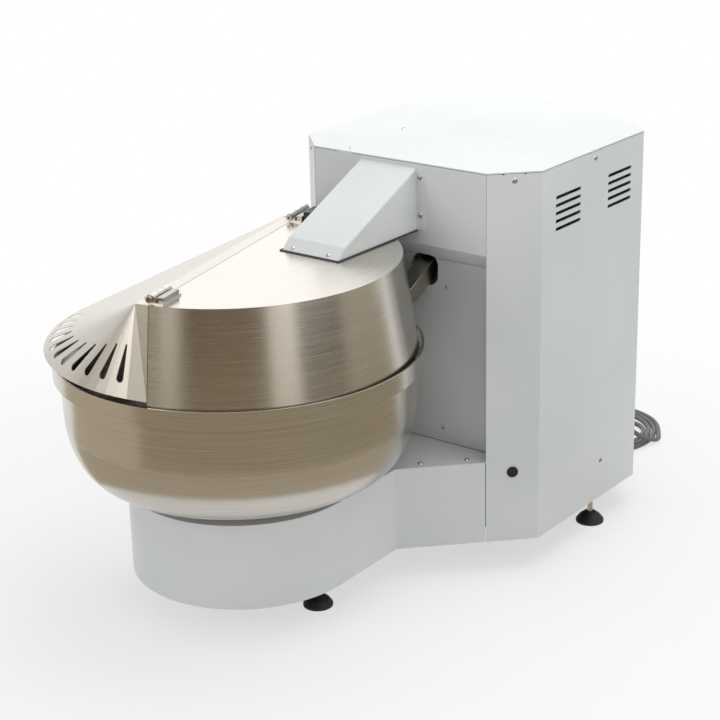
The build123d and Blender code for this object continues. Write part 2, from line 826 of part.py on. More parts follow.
bowl_output = rod(
    (*gear_out, output_bottom), (0, 0, 1), bowl_output_radius,
    support_top + bowl_gearbox_height - gearbox_wall - 4 - output_bottom,
)
bowl_wheel = toothed_wheel(bowl_wheel_radius, bowl_wheel_thick, bowl_output_radius, bowl_wheel_teeth)
save("bowl_output_gear", bowl_output + Pos(*gear_out, gear_mid_z) * bowl_wheel)
bowl_pulley_x = fork_belt_x + belt_pitch
worm_end_x = bowl_pulley_x + pulley_half_width + 4
bowl_worm = rod(
    (gearbox_left - 6, bowl_worm_y, gear_mid_z), (1, 0, 0), worm_shaft_radius,
    worm_end_x - gearbox_left + 6,
)
bowl_worm += rod(
    (bowl_gearbox_x - worm_length / 2, bowl_worm_y, gear_mid_z), (1, 0, 0), bowl_worm_radius, worm_length
)
gearbox_plate = block(28, 202, 316, 456, support_bottom, support_top)
gearbox_plate -= rod((*gear_out, support_bottom - 1), (0, 0, 1), bowl_output_radius + 5, support_plate + 2)
save("support_plates", bearing_plate, gearbox_plate)


def v_pulley(y, z, x, radius, bore, grooves):
    """A V-belt pulley on a shaft along X, one groove for each place along it."""
    length = 2 * pulley_half_width + (grooves - 1) * belt_pitch
    start = x - pulley_half_width
    pulley = rod((start, y, z), (1, 0, 0), radius, length)
    for count in range(grooves):
        groove_x = x + count * belt_pitch - belt_width / 2 - belt_side_gap
        pulley -= ring(
            (groove_x, y, z), (1, 0, 0), radius + 1, radius - groove_depth,
            belt_width + 2 * belt_side_gap,
        )
    return pulley - rod((start - 1, y, z), (1, 0, 0), bore + fit_gap, length + 2)


# Fork gearbox, in its own frame: local Z runs back along the fork's axis, local Y down
tilt = radians(fork_tilt)
axis_back = (0, cos(tilt), sin(tilt))
axis_down = (0, sin(tilt), -cos(tilt))
fork_z = leg_height + fork_axis_height
axis_start = (fork_axis_x, recess_y, fork_z)


def along(distance, down=0.0):
    """A point on the fork's axis, measured back from the panel, and square down from it."""
    return tuple(
        axis_start[i] + axis_back[i] * distance + axis_down[i] * down for i in range(3)
    )


def on_axis(distance):
    """The frame of the fork's axis at a distance back from the panel."""
    return Plane(origin=along(distance), x_dir=(1, 0, 0), z_dir=axis_back).location


gear_frame = on_axis(gearbox_back)
bearing_r = fork_shaft_radius + 14
case_mid = (gearbox_below - gearbox_above) / 2
case_height = gearbox_above + gearbox_below
case_box = Pos(0, case_mid, 0) * Box(gearbox_width, case_height, 2 * gearbox_half_length)
fork_case = fillet(case_box.edges().filter_by(Axis.Z), 14)
for end in (-1, 1):
    fork_case += Pos(0, 0, end * (gearbox_half_length + gearbox_boss / 2)) * Cylinder(
        bearing_r + 10, gearbox_boss
    )
fork_case -= Pos(0, case_mid, 0) * Box(
    gearbox_width - 2 * gearbox_wall, case_height - 2 * gearbox_wall,
    2 * (gearbox_half_length - gearbox_wall),
)
worm_drop = wheel_radius + worm_radius + clear_gap
worm_side = gearbox_width / 2
for end in (-1, 1):
    boss = Pos(end * (worm_side + gearbox_boss / 2), worm_drop, 0) * Rot(0, 90, 0)
    fork_case += boss * Cylinder(worm_shaft_radius + 16, gearbox_boss)
bore_length = 2 * (gearbox_half_length + gearbox_boss)
fork_case -= Cylinder(bearing_r + fit_gap, bore_length + 2)
fork_case -= Pos(0, worm_drop, 0) * Rot(0, 90, 0) * Cylinder(
    worm_shaft_radius + 8 + fit_gap, gearbox_width + 2 * gearbox_boss + 2
)
save("fork_gearbox_case", gear_frame * fork_case)
bearing_place = gearbox_half_length + gearbox_boss - bearing_width / 2 - 1
gearbox_bearings = [
    gear_frame * Pos(0, 0, end * bearing_place) * (
        Cylinder(bearing_r, bearing_width) - Cylinder(fork_shaft_radius + running_gap, bearing_width + 2)
    )
    for end in (-1, 1)
]
worm_bearing_width = 12.0
worm_bearing_place = worm_side + gearbox_boss - worm_bearing_width / 2 - 2
gearbox_bearings += [
    gear_frame * Pos(end * worm_bearing_place, worm_drop, 0) * Rot(0, 90, 0) * (
        Cylinder(worm_shaft_radius + 8, worm_bearing_width)
        - Cylinder(worm_shaft_radius + running_gap, worm_bearing_width + 2)
    )
    for end in (-1, 1)
]
save("gearbox_bearings", *gearbox_bearings)
fork_wheel = toothed_wheel(wheel_radius, wheel_thick, fork_shaft_radius + fit_gap, wheel_teeth)
save("fork_worm_wheel", gear_frame * fork_wheel)
worm_place = along(gearbox_back, worm_drop)
fork_worm_end = fork_belt_x + pulley_half_width + 4
fork_worm_start = fork_axis_x - worm_side - gearbox_boss + 2
fork_worm = rod(
    (fork_worm_start, worm_place[1], worm_place[2]), (1, 0, 0), worm_shaft_radius,
    fork_worm_end - fork_worm_start,
)
fork_worm += rod(
    (fork_axis_x - worm_length / 2, worm_place[1], worm_place[2]), (1, 0, 0), worm_radius, worm_length
)
save("fork_worm_shaft", fork_worm)
save("fork_pulley", v_pulley(
    worm_place[1], worm_place[2], fork_belt_x, fork_pulley_radius, worm_shaft_radius, 1
))
save("bowl_worm_shaft", bowl_worm, v_pulley(
    bowl_worm_y, gear_mid_z, bowl_pulley_x, bowl_worm_pulley_radius, worm_shaft_radius, 1
))
motor_z = leg_height + motor_height
motor_pulley = v_pulley(motor_y, motor_z, fork_belt_x, motor_pulley_radius, motor_shaft_radius, 2)
seat = groove_depth - belt_seat_gap
v_belts = []
for x, y, z, radius in (
    (fork_belt_x, worm_place[1], worm_place[2], fork_pulley_radius),
    (bowl_pulley_x, bowl_worm_y, gear_mid_z, bowl_worm_pulley_radius),
):
    belt_frame = Plane(origin=(x, 0, 0), x_dir=(0, 1, 0), z_dir=(1, 0, 0))
    v_belts.append(belt(
        belt_frame, belt_width, belt_thick, (motor_y, motor_z), motor_pulley_radius - seat,
        (y, z), radius - seat,
    ))
save("v_belts", *v_belts)

# Stand of the fork gearbox
stand_top = [along(gearbox_back + shift, gearbox_below + seat_plate) for shift in (-48.0, 60.0)]
seat_rise = (stand_top[1][2] - stand_top[0][2]) / (stand_top[1][1] - stand_top[0][1])
stand_profile = [
    (stand_front_y, frame_top),
    (stand_back_y, frame_top),
    (stand_back_y, stand_top[0][2] + (stand_back_y - stand_top[0][1]) * seat_rise),
    (stand_front_y, stand_top[0][2] + (stand_front_y - stand_top[0][1]) * seat_rise),
]
gearbox_stand = gear_frame * Pos(0, gearbox_below + seat_plate / 2, 4) * Box(
    gearbox_width, seat_plate, 2 * gearbox_half_length + 16
)
for side in (-1, 1):
    plate_x = fork_axis_x + side * stand_offset - stand_plate / 2
    gearbox_stand += profile_solid(stand_profile, plate_x, plate_x + stand_plate)
save("gearbox_stand", gearbox_stand)

# Fork: shaft with a flange, square bar and two bent tines
flange_back = -fork_bar_inside
fork_shaft = on_axis(fork_bar_inside + fork_flange + fork_flange / 2) * Cylinder(fork_flange_radius, fork_flange)
shaft_start = fork_bar_inside + 2 * fork_flange
shaft_end = gearbox_back + gearbox_half_length + gearbox_boss - 2
fork_shaft += on_axis((shaft_start + shaft_end) / 2) * Cylinder(fork_shaft_radius, shaft_end - shaft_start)
bar_length = fork_bar_inside + fork_bar_length
fork = on_axis(fork_bar_inside + fork_flange / 2) * Cylinder(fork_flange_radius, fork_flange)
bar = Box(fork_bar, fork_bar, bar_length)
bar = fillet(bar.edges().filter_by(Axis.Z), 1.2)
fork += on_axis(fork_bar_inside - bar_length / 2) * bar
tine_plane = Plane(origin=axis_start, x_dir=(1, 0, 0), z_dir=(0, axis_down[1], axis_down[2]))
bend_start = fork_bar_length - 18
for side in (-1, 1):
    points = [
        (side * 4, bend_start),
        (side * 4, bend_start + 14),
        (side * tine_offset, bend_start + tine_bend_length),
        (side * tine_offset, fork_reach - tine_radius),
    ]
    reach = [(x, -y if tine_plane.y_dir.Y > 0 else y) for x, y in points]
    path = tine_plane * FilletPolyline(*reach, radius=26)
    start = path @ 0
    tine = sweep(Plane(origin=start, z_dir=path % 0) * Circle(tine_radius), path)
    tine += Pos(*(path @ 1)) * Sphere(tine_radius)
    fork += tine
bolt_angles = [45 + 90 * count for count in range(4)]
bolts = []
for angle in bolt_angles:
    spot = on_circle(fork_bolt_circle, angle)
    frame = on_axis(fork_bar_inside) * Pos(*spot, 0)
    hole = frame * Pos(0, 0, fork_flange) * Cylinder(fork_bolt_radius + hole_gap, 4 * fork_flange)
    fork -= hole
    fork_shaft -= hole
    bolt = frame * Pos(0, 0, fork_flange) * Cylinder(fork_bolt_radius, 2 * fork_flange)
    bolt += frame * Pos(0, 0, -2.5) * extrude(RegularPolygon(6.5, 6), 5, both=False).moved(Pos(0, 0, -2.5))
    bolt += frame * Pos(0, 0, 2 * fork_flange) * extrude(RegularPolygon(6.5, 6), 5)
    bolts.append(bolt)
save("fork", fork)
save("fork_shaft", fork_shaft)
save("fork_bolts", *bolts)

# Motor
motor = rod((motor_left, motor_y, motor_z), (1, 0, 0), motor_radius, motor_right - motor_left)
for count in range(motor_fins):
    fin = Rot(360 / motor_fins * count, 0, 0) * Pos(0, 0, motor_radius + fin_height / 2 - 1)
    fin_mid_x = (motor_left + motor_right) / 2
    motor += Pos(fin_mid_x, motor_y, motor_z) * fin * Box(
        motor_right - motor_left - 30, 2.5, fin_height + 2
    )
plate_top = frame_top + motor_plate_thick
for side in (-1, 1):
    foot_y = motor_y + side * 48
    motor += block(60, 170, foot_y - 14, foot_y + 14, plate_top, motor_z - 40)
motor += block(80, 150, motor_y - 35, motor_y + 35, motor_z, motor_z + 120)
motor -= rod((motor_right - 30, motor_y, motor_z), (1, 0, 0), motor_shaft_radius + running_gap, 40)
save("motor_housing", motor)
cowl_x = motor_left - fan_cowl_length
cowl = rod((cowl_x, motor_y, motor_z), (1, 0, 0), motor_radius - 2, fan_cowl_length)
cowl -= rod((cowl_x + sheet, motor_y, motor_z), (1, 0, 0), motor_radius - 4, fan_cowl_length)
for row in range(3):
    for count in range(8 + 6 * row):
        spot = on_circle(16 + 16 * row, 360 / (8 + 6 * row) * count)
        cowl -= rod((cowl_x - 1, motor_y + spot[0], motor_z + spot[1]), (1, 0, 0), 3, 5)
save("motor_fan_cowl", cowl)
motor_end_x = bowl_pulley_x + pulley_half_width + 4
motor_shaft = rod(
    (motor_right - 30, motor_y, motor_z), (1, 0, 0), motor_shaft_radius, motor_end_x - motor_right + 30
)
save("motor_shaft", motor_shaft, motor_pulley)

# Frame of the hinge: local X towards the guard, local Y up, local Z back along the hinge
turn = radians(hinge_turn)
hinge_axis = (-sin(turn), cos(turn), 0)
guard_side = (-cos(turn), -sin(turn), 0)
hinge_frame = Plane(origin=(0, 0, hinge_z), x_dir=guard_side, z_dir=hinge_axis).location


def hinge_point(side, rise, reach):
    """A point in the hinge's frame, given in the model's own axes."""
    return tuple(
        (0, 0, hinge_z)[i] + guard_side[i] * side + (0, 0, 1)[i] * rise + hinge_axis[i] * reach
        for i in range(3)
    )


# Fixed cover: half a flat top with a sloping wall, and a short skirt over the fork
cover_section = [
    (0, cover_top),
    (cover_top_radius, cover_top),
    (cover_bottom_radius, cover_bottom),
    (cover_bottom_radius - cover_sheet, cover_bottom),
    (cover_top_radius - cover_sheet, cover_top - cover_sheet),
    (0, cover_top - cover_sheet),
]
bowl_cover = revolve(Plane.XZ * polygon(cover_section), Axis.Z)
cover_edge = -guard_gap / 2
bowl_cover -= hinge_frame * Pos(400 + cover_edge, 0, 0) * Box(800, 800, 1600)
entry_corners = [(0, 0), on_circle(900, fork_entry_start), on_circle(900, 77), on_circle(900, fork_entry_end)]
bowl_cover -= extrude(polygon(entry_corners), cover_top - skirt_drop)
bowl_cover -= block(-900, 900, column_front_y - cover_back_gap, 900, 0, 900)
cover_bolt_places = [(x, y, cover_top + arm_plate + tongue_plate) for x in (75, 136) for y in (85, 120)]
for place in cover_bolt_places:
    bowl_cover -= screw_hole(place, (0, 0, 1))
save("bowl_cover", bowl_cover)

# Guard: the hull of a straight edge and the bowl's edge circle, as a slotted sheet
hinge_heading = degrees(atan2(hinge_axis[1], hinge_axis[0]))
near_heading = hinge_heading - 180
far_heading = hinge_heading
middle_heading = hinge_heading + 90
apex_reach = sqrt(cover_top_radius**2 - guard_strip**2)


def guard_hull(drop, shrink):
    """The space under the guard, with its top lowered and its sides drawn in."""
    side = guard_strip - shrink
    near = hinge_point(side, -hinge_rise - drop, -apex_reach + shrink)
    far = hinge_point(side, -hinge_rise - drop, apex_reach - shrink)
    rim = guard_edge_radius - shrink
    turn_step = 180 / guard_facets
    edge = [
        (*on_circle(rim, middle_heading + turn_step * count), guard_edge_z)
        for count in range(2 * guard_facets)
    ]
    faces = [make_face(Polyline(*edge, close=True)).face()]
    for count in range(2 * guard_facets):
        apex = near if count < guard_facets else far
        corners = (apex, edge[count], edge[(count + 1) % (2 * guard_facets)])
        faces.append(make_face(Polyline(*corners, close=True)).face())
    for corner in (edge[0], edge[guard_facets]):
        faces.append(make_face(Polyline(near, far, corner, close=True)).face())
    return Solid(Shell(faces))


guard = guard_hull(0, 0) - guard_hull(cover_sheet, cover_sheet * 1.1)
near_apex = hinge_point(guard_strip, -hinge_rise, -apex_reach)
far_apex = hinge_point(guard_strip, -hinge_rise, apex_reach)
near_corner = (*on_circle(guard_edge_radius, near_heading - guard_corner_angle), guard_edge_z)
far_corner = (*on_circle(guard_edge_radius, far_heading + guard_corner_angle), guard_edge_z)
keep = [near_apex[:2]]
for step in range(7):
    heading = far_heading + guard_corner_angle
    heading += (180 - 2 * guard_corner_angle) * (6 - step) / 6
    keep.append(on_circle(guard_edge_radius * 1.2, heading))
keep[1] = tuple(near_apex[i] + (near_corner[i] - near_apex[i]) * 2 for i in (0, 1))
keep[-1] = tuple(far_apex[i] + (far_corner[i] - far_apex[i]) * 2 for i in (0, 1))
keep.append(far_apex[:2])
guard &= extrude(polygon(keep), body_top)
seam_share = (cover_top - guard_seam_z) / (cover_top - cover_bottom)
seam_radius = cover_top_radius + (cover_bottom_radius - cover_top_radius) * seam_share
seam_top = hinge_point(guard_gap / 2, -hinge_rise, -cover_top_radius)
seam_bottom = hinge_point(guard_gap / 2, guard_seam_z - hinge_z, -seam_radius)


def wall_inward(a, b, c):
    """The direction from a flat wall's outer face into the guard."""
    normal = (Vector(*b) - Vector(*a)).cross(Vector(*c) - Vector(*a)).normalized()
    inside = Vector(0, 0, hinge_z - 250) - Vector(*a)
    return normal if normal.dot(inside) > 0 else normal * -1


def thick_triangle(a, b, c):
    """A flat triangular sheet whose outer face has the three corners given."""
    return extrude(make_face(Polyline(a, b, c, close=True)), cover_sheet, dir=wall_inward(a, b, c))


end_wall = thick_triangle(near_apex, seam_top, seam_bottom)
end_wall += thick_triangle(near_apex, seam_bottom, near_corner)
fold_start = Vector(*near_apex)
fold_line = Vector(*seam_bottom) - fold_start
fold_corners = [
    fold_start + wall_inward(near_apex, *corners) * cover_sheet
    for corners in ((seam_top, seam_bottom), (seam_bottom, near_corner))
]
fold_face = make_face(Polyline(fold_start, *fold_corners, close=True))
end_wall += extrude(fold_face, fold_line.length, dir=fold_line)
across = Plane(origin=(0, 0, 0), z_dir=hinge_axis)
guard += end_wall
guard += mirror(end_wall, across)
strip_corners = [
    (guard_gap / 2, -cover_top_radius + 0.3), (guard_strip, -apex_reach),
    (guard_strip, apex_reach), (guard_gap / 2, cover_top_radius - 0.3),
]
strip_points = [hinge_point(side, -hinge_rise, reach) for side, reach in strip_corners]
guard += extrude(make_face(Polyline(*strip_points, close=True)), cover_sheet, dir=(0, 0, -1))
for count in range(slots_each_side):
    heading = near_heading - slot_first_angle - slot_step_angle * count
    edge = Vector(*on_circle(guard_edge_radius, heading), guard_edge_z)
    ruling = (edge - Vector(*near_apex)).normalized()
    round_edge = Vector(-sin(radians(heading)), cos(radians(heading)), 0)
    normal = ruling.cross(round_edge).normalized()
    length = slot_short + slot_growth * count
    outer = edge - ruling * (slot_edge_margin + slot_wide / 2)
    slot_plane = Plane(origin=outer, x_dir=ruling, z_dir=normal)
    reach = length - slot_wide / 2
    taper = polygon([
        (0, slot_wide / 2), (-reach, slot_narrow / 2), (-reach, -slot_narrow / 2), (0, -slot_wide / 2),
    ])
    outline = taper + Circle(slot_wide / 2) + Pos(-reach, 0) * Circle(slot_narrow / 2)
    slot = extrude(slot_plane * outline, 8, both=True)
    guard -= slot
    guard -= mirror(slot, across)
save("guard_panel", guard)

# Hinges: two fixed knuckles and a guard knuckle on each pin
hinge_brackets = []
guard_knuckles = []
hinge_pins = []
hinge_blocks = []
for start, length in (
    (near_hinge_start, near_hinge_length), (far_hinge_start, far_hinge_length),
):
    third = length / 3
    bracket = block(
        -hinge_leaf_reach, -knuckle_radius - 1, -hinge_rise, -hinge_rise + hinge_leaf, start, start + length
    )
    for place in (start, start + 2 * third + knuckle_gap):
        size = third - knuckle_gap
        bracket += rod((0, 0, place), (0, 0, 1), knuckle_radius, size)
        bracket += block(-knuckle_radius - 2, 0, -hinge_rise, 0, place, place + size)
    bracket -= rod((0, 0, start - 1), (0, 0, 1), hinge_pin_radius + fit_gap, length + 2)
    hinge_brackets.append(hinge_frame * bracket)
    size = third - knuckle_gap
    place = start + third + knuckle_gap / 2
    knuckle = rod((0, 0, place), (0, 0, 1), knuckle_radius, size)
    knuckle += block(0, hinge_leaf_reach, -hinge_rise, -hinge_rise + hinge_leaf, place, place + size)
    knuckle += block(0, knuckle_radius - 1, -hinge_rise, 0, place, place + size)
    knuckle -= rod((0, 0, start - 1), (0, 0, 1), hinge_pin_radius + running_gap, length + 2)
    guard_knuckles.append(hinge_frame * knuckle)
    pin = rod((0, 0, start), (0, 0, 1), hinge_pin_radius, length)
    pin += rod((0, 0, start - hinge_head_height), (0, 0, 1), hinge_head_radius, hinge_head_height)
    pin -= Pos(0, 0, start - hinge_head_height) * extrude(RegularPolygon(2.4, 6), 3)
    hinge_pins.append(hinge_frame * pin)
    hinge_blocks.append(hinge_frame * block(
        -hinge_leaf_reach + 1, -knuckle_radius - 2.5, -hinge_rise + hinge_leaf, 2,
        start + 4, start + length - 4,
    ))
save("hinge_brackets", *hinge_brackets)
save("guard_knuckles", *guard_knuckles)
save("hinge_pins", *hinge_pins)
save("hinge_blocks", *hinge_blocks)
save("guard_switch", hinge_frame * block(
    -hinge_leaf_reach - 32, -hinge_leaf_reach - 2, -hinge_rise, 10, far_hinge_start + 5, far_hinge_start + 45
))

# Arm over the cover, its base plate and its sheet cover
arm_base_plate = block(
    arm_cover_left - arm_plate_lip, arm_right + arm_plate_lip, arm_cover_front_y - arm_plate_lip,
    column_front_y - clear_gap, cover_top, cover_top + arm_plate,
)
cover_arm = block(
    arm_mid_x - tongue_width / 2, arm_mid_x + tongue_width / 2, arm_cover_front_y + 8,
    upright_y - upright / 2, tongue_bottom, tongue_top,
)
cover_arm += square_tube(
    arm_mid_x - arm_tube_width / 2, arm_mid_x + arm_tube_width / 2, arm_tube_start_y,
    upright_y - upright / 2, tongue_top, tongue_top + arm_tube_height,
)
for place in cover_bolt_places:
    arm_base_plate -= screw_hole(place, (0, 0, 1))
    cover_arm -= screw_hole(place, (0, 0, 1))
save("arm_base_plate", arm_base_plate)
save("cover_arm", cover_arm)
casing_screws += [screw(place, (0, 0, 1)) for place in cover_bolt_places]
nose_y = arm_cover_front_y + arm_cover_nose
nose_z = tongue_bottom + arm_cover_nose
arm_top = [
    (column_front_y, leg_height + arm_cover_back_height),
    (nose_y, nose_z),
    (arm_cover_front_y, tongue_bottom),
]
arm_bend = strip_outline(arm_top, cover_sheet)
arm_body = profile_solid(arm_top + [(column_front_y, tongue_bottom)], arm_cover_left, arm_right)
side_edges = [
    edge for edge in arm_body.edges()
    if abs(edge.tangent_at(0.5).X) < 0.01 and edge.center().Z > tongue_bottom + 2
    and edge.center().Y < column_front_y - 2
]
arm_body = fillet(side_edges, arm_cover_corner / 2)
inside = arm_bend[3:][::-1]
arm_body -= profile_solid(
    [(column_front_y + 5, inside[0][1] + 2.3), inside[1], inside[2], (inside[2][0], tongue_bottom - 5),
     (column_front_y + 5, tongue_bottom - 5)],
    arm_cover_left + cover_sheet, arm_right - cover_sheet,
)
for x0, x1 in ((arm_cover_left - arm_flange, arm_cover_left + 1), (arm_right - 1, arm_right + arm_flange)):
    arm_body += block(
        x0, x1, column_front_y - cover_sheet, column_front_y, tongue_bottom,
        leg_height + arm_cover_back_height - 3,
    )
nose_tilt = (0, -sin(pi / 4), sin(pi / 4))
nose_screw_places = [
    (x, arm_cover_front_y + 4, tongue_bottom + 4) for x in (arm_cover_left + 19, arm_right - 24)
]
for place in arm_screw_places:
    arm_body -= screw_hole(place, (0, -1, 0))
for place in nose_screw_places:
    arm_body -= screw_hole(place, nose_tilt, small_screw_scale)
save("arm_cover", arm_body)
casing_screws += [screw(place, (0, -1, 0)) for place in arm_screw_places]
casing_screws += [screw(place, nose_tilt, small_screw_scale, 3.0) for place in nose_screw_places]
save("casing_screws", *casing_screws)

# Frame: two rails, cross tubes between and beside them, and posts for the plates
bracket_y = 539.0
cross_spans = [
    (-135.0, 135.0, -40.0), (-170.0, 170.0, front_foot_y), (-80.0, 330.0, 335.0),
    (-80.0, 330.0, 445.0), (column_left + 4, column_right - 4, back_foot_y), (left_rail_x + tube / 2, 278.0, 720.0),
]
foot_places = [
    (-front_foot_span / 2, front_foot_y), (front_foot_span / 2, front_foot_y),
    (foot_mid_x - back_foot_span / 2, back_foot_y), (foot_mid_x + back_foot_span / 2, back_foot_y),
]
rails = []
rail_blocks = []
for rail_x, back_y in ((left_rail_x, left_rail_back_y), (right_rail_x, column_back_y - 10)):
    size = (rail_x - tube / 2, rail_x + tube / 2, rail_front_y, back_y, frame_bottom, frame_top)
    rail = square_tube(*size)
    for x, foot_y in foot_places:
        rail -= rod((x, foot_y, frame_bottom - 1), (0, 0, 1), foot_stud_radius + hole_gap, tube_wall + 2)
    rails.append(rail)
    rail_blocks.append(block(*size))
cross_tubes = []
for x0, x1, y in cross_spans:
    bar = square_tube(x0, x1, y - tube / 2, y + tube / 2, frame_bottom, frame_top)
    for rail in rail_blocks:
        bar -= rail
    for x, foot_y in foot_places:
        bar -= rod((x, foot_y, frame_bottom - 1), (0, 0, 1), foot_stud_radius + hole_gap, tube_wall + 2)
    if y == back_foot_y:
        for side in (-1, 1):
            plate_x = column_mid_x + side * (column_width / 2 - sheet - 1)
            bar += block(
                plate_x - 1, plate_x + 1, bracket_y - 14, bracket_y + 14, frame_bottom, frame_top + 45
            )
    cross_tubes.extend(bar.solids())
bracket_hole = screw_hole((column_right, bracket_y, leg_height + 72.0), (1, 0, 0))
cross_tubes = [bar - bracket_hole - mirrored(bracket_hole) for bar in cross_tubes]
post_places = [
    (-120, -50), (120, -50), (-145, 10), (145, 10), (40, 335), (190, 335), (40, 445), (190, 445),
]
posts = [
    block(
        x - support_post / 2, x + support_post / 2, y - support_post / 2, y + support_post / 2,
        frame_top, support_bottom,
    )
    for x, y in post_places
]
motor_plate = block(30, 200, stand_back_y + 2, 740, frame_top, plate_top)
save("base_frame", *rails, *cross_tubes, *posts, motor_plate)
column_frame = [
    square_tube(
        x - upright / 2, x + upright / 2, upright_y - upright / 2, upright_y + upright / 2,
        frame_top, body_top - 10,
    )
    for x in (upright_left_x, upright_right_x)
]
column_frame.append(square_tube(
    upright_left_x + upright / 2, upright_right_x - upright / 2, upright_y - upright / 2,
    upright_y + upright / 2, tongue_top, tongue_top + crossbar_height,
))
save("column_frame", *column_frame)

# Feet
pad_outline = [
    (0, 0), (foot_pad_radius, 0), (foot_pad_radius, 4), (foot_pad_radius - 6, 12),
    (foot_stud_radius + 5, foot_pad_height), (0, foot_pad_height),
]
foot_pad = revolve(Plane.XZ * polygon(pad_outline), Axis.Z)
nut = extrude(RegularPolygon(foot_nut_width / 2, 6, major_radius=False), foot_nut_height)
nut -= Pos(0, 0, -1) * extrude(Circle(foot_stud_radius + fit_gap), foot_nut_height + 2)
stud_length = frame_bottom + tube_wall + 10 - foot_pad_height
save("foot_pads", *[Pos(x, y, 0) * foot_pad for x, y in foot_places])
save("foot_studs", *[
    rod((x, y, foot_pad_height), (0, 0, 1), foot_stud_radius, stud_length) for x, y in foot_places
], *[Pos(x, y, frame_bottom - foot_nut_height) * nut for x, y in foot_places])

# Buttons on the left side, with their bezels and contact blocks
bezels = []
contacts = []
for place in (start_place, stop_place):
    front = (place[0] - bezel_lip, place[1], place[2])
    bezel = rod(front, (1, 0, 0), bezel_radius, bezel_lip)
    bezel += rod(front, (1, 0, 0), bezel_thread_radius, bezel_lip + bezel_depth)
    bezel -= rod(
        (front[0] - 1, front[1], front[2]), (1, 0, 0), button_stem_radius + running_gap,
        bezel_lip + bezel_depth + 2,
    )
    bezels.append(bezel)
    block_x = place[0] + bezel_depth
    contacts.append(block(
        block_x, block_x + 32, place[1] - 20, place[1] + 20, place[2] - 20, place[2] + 20
    ))
stem_length = bezel_lip + bezel_depth - button_travel - clear_gap
start_button = rod(
    (start_place[0] - bezel_lip + 0.5, start_place[1], start_place[2]), (1, 0, 0), button_stem_radius,
    stem_length - 0.5,
)
stop_front = stop_place[0] - bezel_lip - button_travel - 1.5
stop_button = rod(
    (stop_front, stop_place[1], stop_place[2]), (1, 0, 0), button_stem_radius,
    stem_length + button_travel + 1.5,
)
mushroom = rod(
    (stop_front - mushroom_height, stop_place[1], stop_place[2]), (1, 0, 0), mushroom_radius,
    mushroom_height,
)
stop_button += fillet(mushroom.edges().sort_by(Axis.X)[0], 6)
save("button_bezels", *bezels)
save("contact_blocks", *contacts)
save("start_button", start_button)
save("stop_button", stop_button)

# Electrical box under the lid
control_box = block(-28, 74, 352, 472, 590, body_top - sheet)
control_box -= block(-26, 72, 354, 470, 592, body_top - sheet - 6)
for place in lid_screw_places:
    control_box -= screw_hole(place, (0, 0, 1))
save("control_box", control_box)

# Gland, lead, coil and plug of the mains cord
gland = rod(gland_place, (0, 1, 0), gland_radius - 2, gland_length)
gland = fillet(gland.edges().sort_by(Axis.Y)[-1], 4)
gland_hex = Plane(origin=gland_place, x_dir=(1, 0, 0), z_dir=(0, 1, 0)).location
gland += gland_hex * extrude(RegularPolygon(gland_radius, 6), 9)
gland += rod((gland_x, column_back_y - sheet - 6, gland_place[2]), (0, 1, 0), gland_radius - 4, 10)
save("cable_gland", gland)


def coil_path():
    """A flat spiral of half turns, then a tighter half turn inwards, in its own plane."""
    straight = 2 * cord_radius
    edges = [Line((coil_radius, -straight), (coil_radius, 0))]
    spot = coil_radius
    side = 1
    radii = [coil_radius - coil_pitch / 2 * count for count in range(2 * coil_turns)]
    for radius in radii + [coil_end_radius]:
        centre = spot - side * radius
        start = 0 if side > 0 else 180
        edges.append(Pos(centre, 0) * CenterArc((0, 0), radius, start, 180))
        spot -= side * 2 * radius
        side = -side
    edges.append(Line((spot, 0), (spot, side * straight)))
    return edges, (spot, side * straight), side


coil_edges, coil_end, coil_side = coil_path()
coil_frame = Location((*coil_centre, cord_radius), (0, 0, coil_start_angle))
coil_wire = coil_frame * Wire(coil_edges)
coil_start = coil_wire @ 0
coil_heading = coil_wire % 0
cord_coil = sweep(Plane(origin=coil_start, z_dir=coil_heading) * Circle(cord_radius), coil_wire)
save("cord_coil", cord_coil)

lead_points = [Vector(gland_x, column_back_y + gland_length, gland_place[2])]
lead_points += [Vector(*point) for point in cord_drop]
lead_points += [coil_start - coil_heading * cord_last_run, coil_start]
lead_radii = []
for before, point, after in zip(lead_points, lead_points[1:], lead_points[2:]):
    shorter = min((point - before).length, (after - point).length)
    half_turn = radians((point - before).get_angle(after - point)) / 2
    lead_radii.append(0.45 * shorter / tan(half_turn))
lead_wire = FilletPolyline(*lead_points, radius=lead_radii)
lead_face = Plane(origin=lead_wire @ 0, z_dir=lead_wire % 0) * Circle(cord_radius)
power_cord = sweep(lead_face, lead_wire)
save("power_cord", power_cord)
print("lead radii", [round(radius, 1) for radius in lead_radii])
print("lead volume against section times length", round(power_cord.volume / (pi * cord_radius**2 * lead_wire.length), 4))
print("coil volume against section times length", round(cord_coil.volume / (pi * cord_radius**2 * coil_wire.length), 4))
samples = [coil_wire @ (count / 1500) for count in range(1501)]
spacing = coil_wire.length / 1500
skip = int(6 * cord_radius / spacing)
least = min(
    (samples[i] - samples[j]).length
    for i in range(0, 1501, 3)
    for j in range(i + skip, 1501, 3)
)
print("least gap of the coil to itself", round(least - 2 * cord_radius, 2), "cord length", round(coil_wire.length + lead_wire.length))

plug_frame = coil_frame * Location((coil_end[0], coil_end[1], -cord_radius), (0, 0, 90 * coil_side - 90))
plug_middle = mains_plug_neck + mains_plug_radius - 3
mains_plug = block(-7, 7, 0, plug_middle, 0, 12)
mains_plug += Pos(0, plug_middle, 0) * extrude(Circle(mains_plug_radius), mains_plug_height)
mains_plug = fillet(mains_plug.edges().group_by(Axis.Z)[-1], 2)
pins = [
    rod((side * mains_pin_spacing / 2, plug_middle, mains_plug_height), (0, 0, 1), mains_pin_radius, mains_pin_length)
    for side in (-1, 1)
]
save("mains_plug", plug_frame * mains_plug)
save("plug_pins", *[plug_frame * pin for pin in pins])

